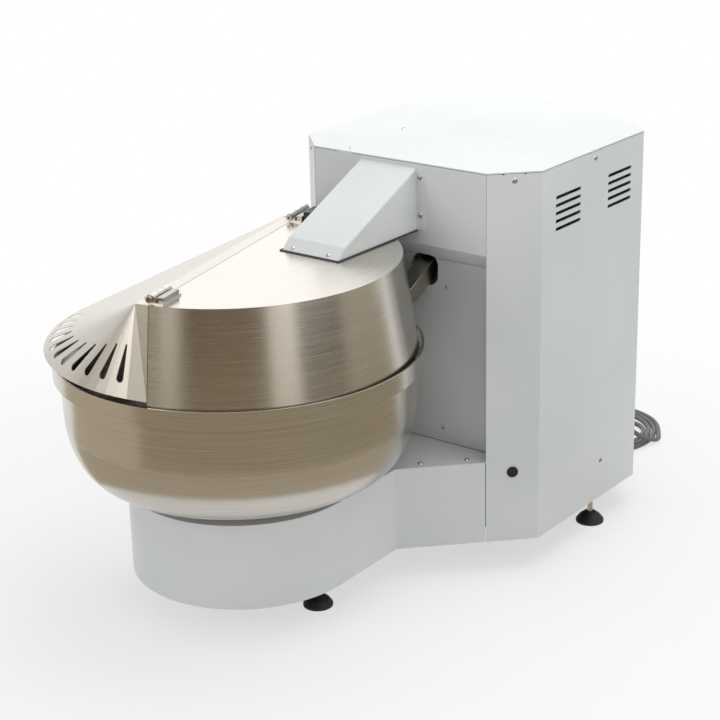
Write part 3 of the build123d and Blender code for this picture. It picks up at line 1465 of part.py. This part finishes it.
print("bowl axis", at(0, 0, deck_top))
print("hinge axis", at(0, 0, hinge_z), [round(value, 6) for value in hinge_axis])
print("fork axis", at(*axis_start), [round(value, 6) for value in axis_back])
print("bowl worm axis", at(gearbox_left, bowl_worm_y, gear_mid_z))
print("bowl drive axis", at(*gear_out, belt_plane))
print("fork worm axis", at(fork_axis_x, worm_place[1], worm_place[2]))
print("motor axis", at(motor_left, motor_y, motor_z))
print("buttons", at(*start_place), at(*stop_place))
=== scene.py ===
import math

import bpy
import numpy as np
from mathutils import Matrix, Vector


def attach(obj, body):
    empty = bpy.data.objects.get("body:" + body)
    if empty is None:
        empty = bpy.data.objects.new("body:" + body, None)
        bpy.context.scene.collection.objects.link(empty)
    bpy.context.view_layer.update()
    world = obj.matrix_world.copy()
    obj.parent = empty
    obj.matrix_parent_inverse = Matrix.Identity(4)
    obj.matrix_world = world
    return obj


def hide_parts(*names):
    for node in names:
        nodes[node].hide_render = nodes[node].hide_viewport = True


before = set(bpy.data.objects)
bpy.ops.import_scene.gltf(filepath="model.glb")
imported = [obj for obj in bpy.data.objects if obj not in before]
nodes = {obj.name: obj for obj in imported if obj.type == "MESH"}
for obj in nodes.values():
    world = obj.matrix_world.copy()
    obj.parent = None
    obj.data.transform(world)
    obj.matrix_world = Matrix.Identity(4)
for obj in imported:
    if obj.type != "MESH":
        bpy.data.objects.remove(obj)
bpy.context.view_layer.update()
print("frame loaded:", len(nodes), "nodes")

bowlAxis = (-0.028, -0.2395)  # where the bowl turns, seen from above
metre = 1.0
mm = 0.001
white = (1.0, 1.0, 1.0, 1.0)


def toLinear(hexColour):
    # each sRGB channel to linear light: the low end is divided, the rest follows the 2.4 power
    channels = [int(hexColour[i:i + 2], 16) / 255 for i in (1, 3, 5)]
    return [c / 12.92 if c <= 0.04045 else ((c + 0.055) / 1.055) ** 2.4 for c in channels] + [1.0]


def addNode(tree, kind, values=None, links=None, **settings):
    # one node with its settings, its socket values and what feeds its sockets
    node = tree.nodes.new(kind)
    for name, value in settings.items():
        setattr(node, name, value)
    for name, value in (values or {}).items():
        node.inputs[name].default_value = value
    for name, source in (links or {}).items():
        tree.links.new(source, node.inputs[name])
    return node


def startTree(owner):
    # an empty node tree on a material or a world
    owner.use_nodes = True
    owner.node_tree.nodes.clear()
    return owner.node_tree


def startMaterial(name):
    # an empty node tree with its output and a principled shader joined
    material = bpy.data.materials.new(name)
    tree = startTree(material)
    shader = addNode(tree, "ShaderNodeBsdfPrincipled")
    addNode(tree, "ShaderNodeOutputMaterial", links={"Surface": shader.outputs["BSDF"]})
    return material, tree, shader


def setRamp(node, stops):
    # places the colour stops of a ramp: position and hex colour
    ramp = node.color_ramp
    while len(ramp.elements) < len(stops):
        ramp.elements.new(0.5)
    for element, (position, colour) in zip(ramp.elements, stops):
        element.position = position
        element.color = toLinear(colour)


def addObject(name, data):
    # a mesh, curve, light or camera as an object at the origin of the scene
    piece = bpy.data.objects.new(name, data)
    bpy.context.scene.collection.objects.link(piece)
    return piece


# Powder-coated sheet steel: pale and half glossy, with a fine orange peel and a faint drift of tone
enamel = {
    "light": "#dfe2e2",
    "dark": "#d6dadb",
    "toneStops": (0.35, 0.65),
    "roughness": 0.36,
    "glossSpread": (-0.04, 0.05),
    "ior": 1.5,
    "peel": 1.6 * mm,
    "peelDetail": 2.0,
    "peelRelief": 0.5,
    "peelDepth": 0.025 * mm,
    "drift": 260 * mm,
    "driftDetail": 3.0,
}


def makeEnamel(name, spec):
    material, tree, shader = startMaterial(name)
    place = addNode(tree, "ShaderNodeTexCoord")
    drift = addNode(tree, "ShaderNodeTexNoise",
                    {"Scale": metre / spec["drift"], "Detail": spec["driftDetail"]},
                    {"Vector": place.outputs["Object"]})
    tone = addNode(tree, "ShaderNodeValToRGB", links={"Fac": drift.outputs["Fac"]})
    setRamp(tone, list(zip(spec["toneStops"], (spec["dark"], spec["light"]))))
    tree.links.new(tone.outputs["Color"], shader.inputs["Base Color"])
    peel = addNode(tree, "ShaderNodeTexNoise",
                   {"Scale": metre / spec["peel"], "Detail": spec["peelDetail"]},
                   {"Vector": place.outputs["Object"]})
    bump = addNode(tree, "ShaderNodeBump",
                   {"Strength": spec["peelRelief"], "Distance": spec["peelDepth"]},
                   {"Height": peel.outputs["Fac"]})
    tree.links.new(bump.outputs["Normal"], shader.inputs["Normal"])
    low, high = spec["glossSpread"]
    gloss = addNode(tree, "ShaderNodeMapRange",
                    {"To Min": spec["roughness"] + low, "To Max": spec["roughness"] + high},
                    {"Value": drift.outputs["Fac"]})
    tree.links.new(gloss.outputs["Result"], shader.inputs["Roughness"])
    shader.inputs["IOR"].default_value = spec["ior"]
    return material


# Stainless sheet: the belt leaves long scratches that run one way and blur what the sheet mirrors.
# Real ones are about a tenth of a millimetre wide; they are drawn coarser, so that they show
brushed = {
    "light": "#d0ccc4",
    "dark": "#c0bbb2",
    "toneStops": (0.3, 0.7),
    "roughness": 0.22,
    "glossFrom": (0.35, 1.0),
    "glossSpread": (-0.04, 0.08),
    "lineWidth": 0.55 * mm,
    "lineLength": 160 * mm,
    "lineDepth": 0.02 * mm,
    "lineRelief": 0.12,
    "lineDetail": 2.0,
    "turnRadius": 280 * mm,  # at this distance from the axis a turned scratch has its full length
    "smudge": 140 * mm,
    "smudgeDetail": 3.0,
    "smudgeShare": 0.35,
}


def addTurnedLines(tree, place, around, across, turn):
    # cylinder coordinates round the axis: distance and height in line widths, heading in line lengths
    centred = addNode(tree, "ShaderNodeMapping", {"Location": (-around[0], -around[1], 0.0)},
                      {"Vector": place.outputs["Object"]})
    parts = addNode(tree, "ShaderNodeSeparateXYZ", links={"Vector": centred.outputs["Vector"]})
    flat = addNode(tree, "ShaderNodeVectorMath", {1: (1.0, 1.0, 0.0)}, {0: centred.outputs["Vector"]},
                   operation="MULTIPLY")
    radius = addNode(tree, "ShaderNodeVectorMath", links={0: flat.outputs["Vector"]}, operation="LENGTH")
    angle = addNode(tree, "ShaderNodeMath", links={0: parts.outputs["Y"], 1: parts.outputs["X"]},
                    operation="ARCTAN2")
    spread = addNode(tree, "ShaderNodeMath", {1: turn}, {0: angle.outputs["Value"]}, operation="MULTIPLY")
    deep = addNode(tree, "ShaderNodeMath", {1: across}, {0: parts.outputs["Z"]}, operation="MULTIPLY")
    wide = addNode(tree, "ShaderNodeMath", {1: across}, {0: radius.outputs["Value"]}, operation="MULTIPLY")
    return addNode(tree, "ShaderNodeCombineXYZ", links={
        "X": wide.outputs["Value"], "Y": spread.outputs["Value"], "Z": deep.outputs["Value"]})


def makeBrushed(name, spec, around=None, along="X"):
    # around is an axis seen from above that the scratches circle; otherwise they run along X or Y
    material, tree, shader = startMaterial(name)
    place = addNode(tree, "ShaderNodeTexCoord")
    across, run = metre / spec["lineWidth"], metre / spec["lineLength"]
    if around:
        lines = addTurnedLines(tree, place, around, across, run * spec["turnRadius"])
    else:
        size = (run, across, across) if along == "X" else (across, run, across)
        lines = addNode(tree, "ShaderNodeVectorMath", {1: size}, {0: place.outputs["Object"]},
                        operation="MULTIPLY")
    scratch = addNode(tree, "ShaderNodeTexNoise", {"Scale": 1.0, "Detail": spec["lineDetail"]},
                      {"Vector": lines.outputs["Vector"]})
    smudge = addNode(tree, "ShaderNodeTexNoise",
                     {"Scale": metre / spec["smudge"], "Detail": spec["smudgeDetail"]},
                     {"Vector": place.outputs["Object"]})
    tone = addNode(tree, "ShaderNodeValToRGB", links={"Fac": scratch.outputs["Fac"]})
    setRamp(tone, list(zip(spec["toneStops"], (spec["dark"], spec["light"]))))
    tree.links.new(tone.outputs["Color"], shader.inputs["Base Color"])
    blend = addNode(tree, "ShaderNodeMath", {1: spec["smudgeShare"]},
                    {0: smudge.outputs["Fac"], 2: scratch.outputs["Fac"]}, operation="MULTIPLY_ADD")
    low, high = spec["glossSpread"]
    gloss = addNode(tree, "ShaderNodeMapRange", {
        "From Min": spec["glossFrom"][0], "From Max": spec["glossFrom"][1],
        "To Min": spec["roughness"] + low, "To Max": spec["roughness"] + high},
        {"Value": blend.outputs["Value"]})
    tree.links.new(gloss.outputs["Result"], shader.inputs["Roughness"])
    bump = addNode(tree, "ShaderNodeBump",
                   {"Strength": spec["lineRelief"], "Distance": spec["lineDepth"]},
                   {"Height": scratch.outputs["Fac"]})
    tree.links.new(bump.outputs["Normal"], shader.inputs["Normal"])
    shader.inputs["Metallic"].default_value = 1.0
    return material


# Plainer finishes: two close tones in grains of a real size, with a little relief
grained = {
    # name: light, dark, metallic, roughness, grain width and relief in mm
    "groundSteelBar": ("#b9b4a9", "#8f897d", 1.0, 0.3, 2.5, 0.03),  # ground bar: a dull, cloudy shine
    "turnedSteel": ("#b4b3b0", "#94938f", 1.0, 0.28, 1.2, 0.02),  # turned steel: a clean grey shine
    "zincPlatedSteel": ("#cfcdc6", "#a9a69d", 1.0, 0.25, 1.0, 0.01),  # zinc plate: bright and a little warm
    "darkFramePaint": ("#3d4042", "#2f3234", 0.0, 0.5, 2.0, 0.05),  # brushed-on frame paint: dark, half matt
    "paintedCasting": ("#7d858a", "#697177", 0.0, 0.55, 1.8, 0.15),  # sand casting, painted: grey and rough
    "turnedCastIron": ("#5a5a59", "#444443", 0.9, 0.42, 1.5, 0.05),  # turned cast iron: dark with a low shine
    "gearBronze": ("#b08a50", "#8e6c3b", 1.0, 0.33, 1.5, 0.03),  # hobbed bronze: brown gold
    "plainBrass": ("#c9a961", "#b0904c", 1.0, 0.24, 1.0, 0.01),  # drawn brass: yellow and bright
    "mouldedRubber": ("#1f1f20", "#151516", 0.0, 0.62, 1.4, 0.08),  # moulded rubber: black, matt
    "beltRubber": ("#2a2a2a", "#1c1c1c", 0.0, 0.7, 1.0, 0.08),  # belt rubber: sooty black
    "blackNylon": ("#1b1b1c", "#131314", 0.0, 0.38, 0.8, 0.03),  # moulded nylon: black, a soft gloss
    "greyAbs": ("#a8aaab", "#9c9e9f", 0.0, 0.42, 0.8, 0.03),  # moulded ABS: even light grey
    "greenAcrylic": ("#1f9a4d", "#178540", 0.0, 0.2, 4.0, 0.01),  # moulded cap: glossy green
    "redAcrylic": ("#cf2420", "#b81c19", 0.0, 0.2, 4.0, 0.01),  # moulded cap: glossy red
    "cordSheath": ("#6f6f71", "#5c5c5f", 0.0, 0.55, 1.2, 0.03),  # extruded PVC: mid grey, half matt
    "motorEnamel": ("#6f7f8c", "#606f7b", 0.0, 0.4, 1.8, 0.06),  # sprayed enamel: blue grey
}
grainLook = {
    "toneStops": (0.35, 0.65),
    "glossSpread": (-0.06, 0.08),
    "relief": 0.5,
    "grainDetail": 3.0,
    "wear": 45 * mm,  # size of the soft patches over the grain
    "wearDetail": 4.0,
    "share": 0.5,  # how the grain and the patches divide the tone
}


def makeGrained(name, spec, look):
    light, dark, metallic, roughness, grainWidth, depth = spec
    material, tree, shader = startMaterial(name)
    place = addNode(tree, "ShaderNodeTexCoord")
    grain = addNode(tree, "ShaderNodeTexNoise",
                    {"Scale": metre / (grainWidth * mm), "Detail": look["grainDetail"]},
                    {"Vector": place.outputs["Object"]})
    wear = addNode(tree, "ShaderNodeTexNoise",
                   {"Scale": metre / look["wear"], "Detail": look["wearDetail"]},
                   {"Vector": place.outputs["Object"]})
    part = addNode(tree, "ShaderNodeMath", {1: look["share"]}, {0: grain.outputs["Fac"]},
                   operation="MULTIPLY")
    both = addNode(tree, "ShaderNodeMath", {1: look["share"]},
                   {0: wear.outputs["Fac"], 2: part.outputs["Value"]}, operation="MULTIPLY_ADD")
    tone = addNode(tree, "ShaderNodeValToRGB", links={"Fac": both.outputs["Value"]})
    setRamp(tone, list(zip(look["toneStops"], (dark, light))))
    tree.links.new(tone.outputs["Color"], shader.inputs["Base Color"])
    low, high = look["glossSpread"]
    gloss = addNode(tree, "ShaderNodeMapRange", {"To Min": roughness + low, "To Max": roughness + high},
                    {"Value": wear.outputs["Fac"]})
    tree.links.new(gloss.outputs["Result"], shader.inputs["Roughness"])
    bump = addNode(tree, "ShaderNodeBump", {"Strength": look["relief"], "Distance": depth * mm},
                   {"Height": grain.outputs["Fac"]})
    tree.links.new(bump.outputs["Normal"], shader.inputs["Normal"])
    shader.inputs["Metallic"].default_value = metallic
    return material


finishes = {name: makeGrained(name, spec, grainLook) for name, spec in grained.items()}
finishes["powderCoat"] = makeEnamel("powderCoatedSteel", enamel)
spun = {**brushed, "light": "#d3cfc8", "roughness": 0.2}  # spun and polished: a little brighter
satin = {**brushed, "roughness": 0.34}  # the guard's sheet: a softer, more even shine
finishes["spunStainless"] = makeBrushed("spunStainlessBowl", spun, around=bowlAxis)
finishes["rolledStainless"] = makeBrushed("brushedStainlessWall", brushed, around=bowlAxis)
finishes["brushedStainless"] = makeBrushed("brushedStainlessSheet", brushed, along="Y")
finishes["satinStainless"] = makeBrushed("satinStainlessGuard", satin, along="X")
print("finishes made:", len(finishes))

# What each CAD node is made of
nodeFinish = {
    "powderCoat": ["arm_cover", "back_panel", "column_lid", "column_side_left", "column_side_right",
                   "deck_plate", "lower_front_panel", "plinth_shell", "upper_front_panel"],
    "spunStainless": ["bowl"],
    "rolledStainless": ["bowl_cover"],
    "satinStainless": ["guard_panel"],
    "brushedStainless": ["guard_knuckles", "hinge_brackets"],
    "groundSteelBar": ["fork"],
    "turnedSteel": ["bowl_bearings", "bowl_hub", "bowl_worm_shaft", "fork_shaft", "fork_worm_shaft",
                    "gearbox_bearings", "hinge_blocks", "hinge_pins", "motor_shaft"],
    "zincPlatedSteel": ["bowl_screws", "casing_screws", "foot_studs", "fork_bolts"],
    "darkFramePaint": ["arm_base_plate", "base_frame", "column_frame", "cover_arm", "gearbox_stand",
                       "motor_fan_cowl", "support_plates"],
    "paintedCasting": ["bowl_bearing_housing", "bowl_gearbox_case", "fork_gearbox_case"],
    "turnedCastIron": ["bowl_drive_pulley", "bowl_pulley", "fork_pulley"],
    "gearBronze": ["bowl_output_gear", "fork_worm_wheel"],
    "plainBrass": ["plug_pins"],
    "mouldedRubber": ["bowl_seal", "foot_pads"],
    "beltRubber": ["bowl_belt", "v_belts"],
    "blackNylon": ["cable_gland", "guard_switch", "hole_plug", "mains_plug"],
    "greyAbs": ["button_bezels", "contact_blocks", "control_box"],
    "greenAcrylic": ["start_button"],
    "redAcrylic": ["stop_button"],
    "cordSheath": ["cord_coil", "power_cord"],
    "motorEnamel": ["motor_housing"],
}
for finish, members in nodeFinish.items():
    for member in members:
        data = nodes[member].data
        data.materials.clear()
        data.materials.append(finishes[finish])
print("nodes painted:", sum(len(members) for members in nodeFinish.values()))

# The mains cord: out of the gland, down to the floor and round its coil, with the plug inside it
cordSpec = {
    "radius": 4.75 * mm,
    "length": 2.549,
    "lead": [(0.184, 0.5505, 0.085), (0.184, 0.5865, 0.085), (0.204, 0.6205, 0.054), (0.226, 0.6505, 0.022)],
    "coilCentre": (0.107, 0.6755),
    "coilTurn": 25.0,  # degrees from +X to where the coil begins
    "outerRadius": 128 * mm,
    "pitch": 10.6 * mm,
    "turns": 3,
    "innerRadius": 50 * mm,
    "runIn": (41.5 * mm, 9.5 * mm),  # how far before the coil the straight run starts and ends
    "pointsPerTurn": 16,
    "roundness": 5,  # how finely the sheath's circle and the line along it are drawn
    "smoothness": 6,
}


def coilPoints(spec):
    # in the coil's own plane: a straight run, a spiral that draws in by one pitch a turn,
    # a tight half turn, and the plug's end. Points of a turn stand out by one over the cosine of half
    # a step, so that the curve they pull runs on the wanted radius
    step = 2 * np.pi / spec["pointsPerTurn"]
    outset = 1 / math.cos(step / 2)
    shift = spec["pitch"] / 4
    turn = np.arange(1, spec["turns"] * spec["pointsPerTurn"] + 1) * step
    radius = (spec["outerRadius"] + shift - spec["pitch"] * turn / (2 * np.pi)) * outset
    spiral = np.stack([radius * np.cos(turn) - shift, radius * np.sin(turn)], axis=1)
    last = spec["outerRadius"] - spec["pitch"] * spec["turns"]
    middle = last - spec["innerRadius"]
    halfPoints = spec["pointsPerTurn"] // 2
    bend = np.arange(1, halfPoints) * np.pi / halfPoints
    tight = spec["innerRadius"] * outset
    inner = np.stack([middle + tight * np.cos(bend), tight * np.sin(bend)], axis=1)
    end = middle - spec["innerRadius"]
    runIn = np.array([(spec["outerRadius"], -gap) for gap in spec["runIn"]])
    return np.concatenate([runIn, spiral, inner, [(end, 0.0), (end, -spec["runIn"][1])]])


def layCoil(spec):
    # turns the coil's plane to where the coil begins and lays it on the floor
    flat = coilPoints(spec)
    angle = math.radians(spec["coilTurn"])
    turned = flat @ np.array([(math.cos(angle), math.sin(angle)), (-math.sin(angle), math.cos(angle))])
    low = np.full((len(flat), 1), spec["radius"])
    return np.concatenate([turned + spec["coilCentre"], low], axis=1)


route = np.concatenate([cordSpec["lead"], layCoil(cordSpec)])
cordLine = bpy.data.curves.new("mainsCord", "CURVE")
cordLine.dimensions = "3D"
cordLine.bevel_depth = cordSpec["radius"]
cordLine.bevel_resolution = cordSpec["roundness"]
cordLine.resolution_u = cordSpec["smoothness"]
cordLine.use_fill_caps = True
spline = cordLine.splines.new("NURBS")
spline.points.add(len(route) - 1)
spline.points.foreach_set("co", np.concatenate([route, np.ones((len(route), 1))], axis=1).ravel())
spline.order_u = 3
spline.use_endpoint_u = True
mainsCord = addObject("mainsCord", cordLine)
cordLine.materials.append(finishes["cordSheath"])
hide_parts("power_cord", "cord_coil")
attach(mainsCord, "machine")
print("cord laid:", len(route), "points")

# Camera where the photographer stood, found from the machine's own edges
cameraSpec = {
    "place": (1.8329, -2.3065, 1.4309),
    "right": (0.79293, 0.60889, -0.02262),
    "up": (-0.19652, 0.29070, 0.93642),
    "back": (0.57675, -0.73807, 0.35016),
    "focalPixels": 1822.6,
    "frame": 720,
    "middle": (358.9, 364.6),
    "sensor": 36.0,
    "farClip": 100.0,
}
lens = bpy.data.cameras.new("studioCamera")
lens.sensor_width = cameraSpec["sensor"]
lens.sensor_height = cameraSpec["sensor"]
lens.lens = cameraSpec["sensor"] * cameraSpec["focalPixels"] / cameraSpec["frame"]
lens.shift_x = (cameraSpec["frame"] / 2 - cameraSpec["middle"][0]) / cameraSpec["frame"]
lens.shift_y = (cameraSpec["middle"][1] - cameraSpec["frame"] / 2) / cameraSpec["frame"]
lens.clip_end = cameraSpec["farClip"]
camera = addObject("studioCamera", lens)
rows = Matrix((cameraSpec["right"], cameraSpec["up"], cameraSpec["back"])).transposed().to_4x4()
camera.matrix_world = Matrix.Translation(cameraSpec["place"]) @ rows
bpy.context.scene.camera = camera
print("camera set")

# Studio: a pale floor, a white surround and three soft lamps
studio = {
    "floorSize": 40.0,
    "floorColour": "#f4f4f4",
    "glowNear": 0.62,  # how much of the floor is paper white by itself near the machine, and far from it
    "glowFar": 1.0,
    "glowFrom": 0.55,  # between these distances the one passes into the other
    "glowTo": 1.5,
    "worldLight": 0.44,
    "lamps": [
        # name, place, what it points at, side in metres, watts
        ("overheadSoftbox", (0.3, 0.8, 3.2), (0.0, 0.0, 0.4), 3.0, 58.0),
        ("rightSoftbox", (3.2, -0.3, 1.6), (0.1, 0.1, 0.4), 2.2, 14.0),
        ("frontSoftbox", (-1.4, -3.2, 1.7), (0.0, -0.2, 0.35), 2.0, 27.0),
    ],
}


def addSeen(tree):
    # 1 for what the camera sees directly, in a mirror or through glass, and 0 for light that falls on things
    rays = addNode(tree, "ShaderNodeLightPath")
    mirrored = addNode(tree, "ShaderNodeMath",
                       links={0: rays.outputs["Is Camera Ray"], 1: rays.outputs["Is Glossy Ray"]},
                       operation="MAXIMUM")
    return addNode(tree, "ShaderNodeMath",
                   links={0: mirrored.outputs["Value"], 1: rays.outputs["Is Transmission Ray"]},
                   operation="MAXIMUM")


half = studio["floorSize"] / 2
floorCorners = [(-half, -half, 0), (half, -half, 0), (half, half, 0), (-half, half, 0)]
floorMesh = bpy.data.meshes.new("studioFloor")
floorMesh.from_pydata(floorCorners, [], [(0, 1, 2, 3)])
floor = addObject("studioFloor", floorMesh)
floorPaint = bpy.data.materials.new("paperSweep")
tree = startTree(floorPaint)
seen = addSeen(tree)
matt = addNode(tree, "ShaderNodeBsdfDiffuse", {"Color": toLinear(studio["floorColour"])})
glow = addNode(tree, "ShaderNodeEmission", {"Color": white, "Strength": 1.0})
place = addNode(tree, "ShaderNodeTexCoord")
distance = addNode(tree, "ShaderNodeVectorMath", links={0: place.outputs["Object"]}, operation="LENGTH")
fade = addNode(tree, "ShaderNodeMapRange", {
    "From Min": studio["glowFrom"], "From Max": studio["glowTo"],
    "To Min": studio["glowNear"], "To Max": studio["glowFar"]},
    {"Value": distance.outputs["Value"]}, interpolation_type="SMOOTHSTEP")
share = addNode(tree, "ShaderNodeMath", links={0: seen.outputs["Value"], 1: fade.outputs["Result"]},
                operation="MULTIPLY")
mixed = addNode(tree, "ShaderNodeMixShader", links={
    0: share.outputs["Value"], 1: matt.outputs["BSDF"], 2: glow.outputs["Emission"]})
addNode(tree, "ShaderNodeOutputMaterial", links={"Surface": mixed.outputs["Shader"]})
floorMesh.materials.append(floorPaint)

world = bpy.data.worlds.new("studioSurround")
bpy.context.scene.world = world
tree = startTree(world)
seen = addSeen(tree)
level = addNode(tree, "ShaderNodeMapRange", {"To Min": studio["worldLight"], "To Max": 1.0},
                {"Value": seen.outputs["Value"]})
sky = addNode(tree, "ShaderNodeBackground", {"Color": white}, {"Strength": level.outputs["Result"]})
addNode(tree, "ShaderNodeOutputWorld", links={"Surface": sky.outputs["Background"]})

for name, spot, target, side, power in studio["lamps"]:
    light = bpy.data.lights.new(name, "AREA")
    light.shape = "SQUARE"
    light.size = side
    light.energy = power
    lamp = addObject(name, light)
    lamp.location = spot
    lamp.rotation_euler = (Vector(target) - Vector(spot)).to_track_quat("-Z", "Y").to_euler()

# Flags and cards round the studio, out of sight, so that the steel has dark and light bands to mirror
cardRing = {
    "grid": (13, 3),  # points along the heading and across
    "wallReach": 4.4,
    "wallHeight": (0.0, 2.3),
    "walls": [
        # name, headings in degrees, colour, strength
        ("leftFlag", (-150, -97), "#93866f", 0.85),
        ("leftCard", (-97, -84), "#e6dfd2", 1.0),
        ("frontDark", (-84, -70), "#6a5a47", 1.0),
        ("frontFlag", (-70, -30), "#7d6d58", 1.0),
        ("frontCard", (-29, -13), "#f4efe6", 1.15),
        ("rightDark", (-12, 19), "#4a3f31", 0.9),
        ("rightFlag", (19, 52), "#c0b9ab", 1.0),
    ],
    "groundLift": 4 * mm,  # the ground's cards lie just clear of the floor
    "groundStrength": 0.95,
    "grounds": [
        # what the bowl's upright side mirrors: name, headings in degrees, near and far, colour
        ("nearGround", (-170, 58), (0.42, 0.78), "#beb39f"),
        ("leftGround", (-170, -108), (0.78, 4.3), "#cbbfaa"),
        ("middleGround", (-108, -25), (0.78, 4.3), "#a99a82"),
        ("rightGround", (-25, 58), (0.78, 4.3), "#a79c86"),
    ],
    # a bright card that leans in behind the machine
    "back": {"turn": (100, 165), "foot": (4.4, 0.9), "top": (4.0, 3.4), "colour": "#ffffff", "strength": 1.6},
}


def layCard(name, turn, start, end, colour, strength):
    # a grid of heading by share: the heading goes round bowlAxis, and the share runs from start to end,
    # each a distance and a height. The steel mirrors it, and it neither shows nor lights nor shades
    headings, shares = cardRing["grid"]
    heading = np.radians(np.linspace(turn[0], turn[1], headings))[:, None]
    part = np.linspace(0.0, 1.0, shares)[None, :]
    reach = start[0] + (end[0] - start[0]) * part
    height = start[1] + (end[1] - start[1]) * part
    across = bowlAxis[0] + reach * np.cos(heading)
    along = bowlAxis[1] + reach * np.sin(heading)
    points = np.stack([across, along, np.broadcast_to(height, across.shape)], axis=2)
    index = np.arange(headings * shares).reshape(headings, shares)
    quads = np.stack([index[:-1, :-1], index[1:, :-1], index[1:, 1:], index[:-1, 1:]], axis=2)
    mesh = bpy.data.meshes.new(name)
    mesh.from_pydata(points.reshape(-1, 3), [], quads.reshape(-1, 4))
    paint = bpy.data.materials.new(name)
    paintTree = startTree(paint)
    lit = addNode(paintTree, "ShaderNodeEmission", {"Color": toLinear(colour), "Strength": strength})
    addNode(paintTree, "ShaderNodeOutputMaterial", links={"Surface": lit.outputs["Emission"]})
    mesh.materials.append(paint)
    card = addObject(name, mesh)
    card.visible_camera = False
    card.visible_diffuse = False
    card.visible_shadow = False
    card.visible_transmission = False


wallLow, wallHigh = [(cardRing["wallReach"], height) for height in cardRing["wallHeight"]]
for name, turn, colour, strength in cardRing["walls"]:
    layCard(name, turn, wallLow, wallHigh, colour, strength)
for name, turn, (near, far), colour in cardRing["grounds"]:
    lift = cardRing["groundLift"]
    layCard(name, turn, (near, lift), (far, lift), colour, cardRing["groundStrength"])
back = cardRing["back"]
layCard("backCard", back["turn"], back["foot"], back["top"], back["colour"], back["strength"])
bpy.context.scene.view_settings.view_transform = "Standard"
print("studio lit")
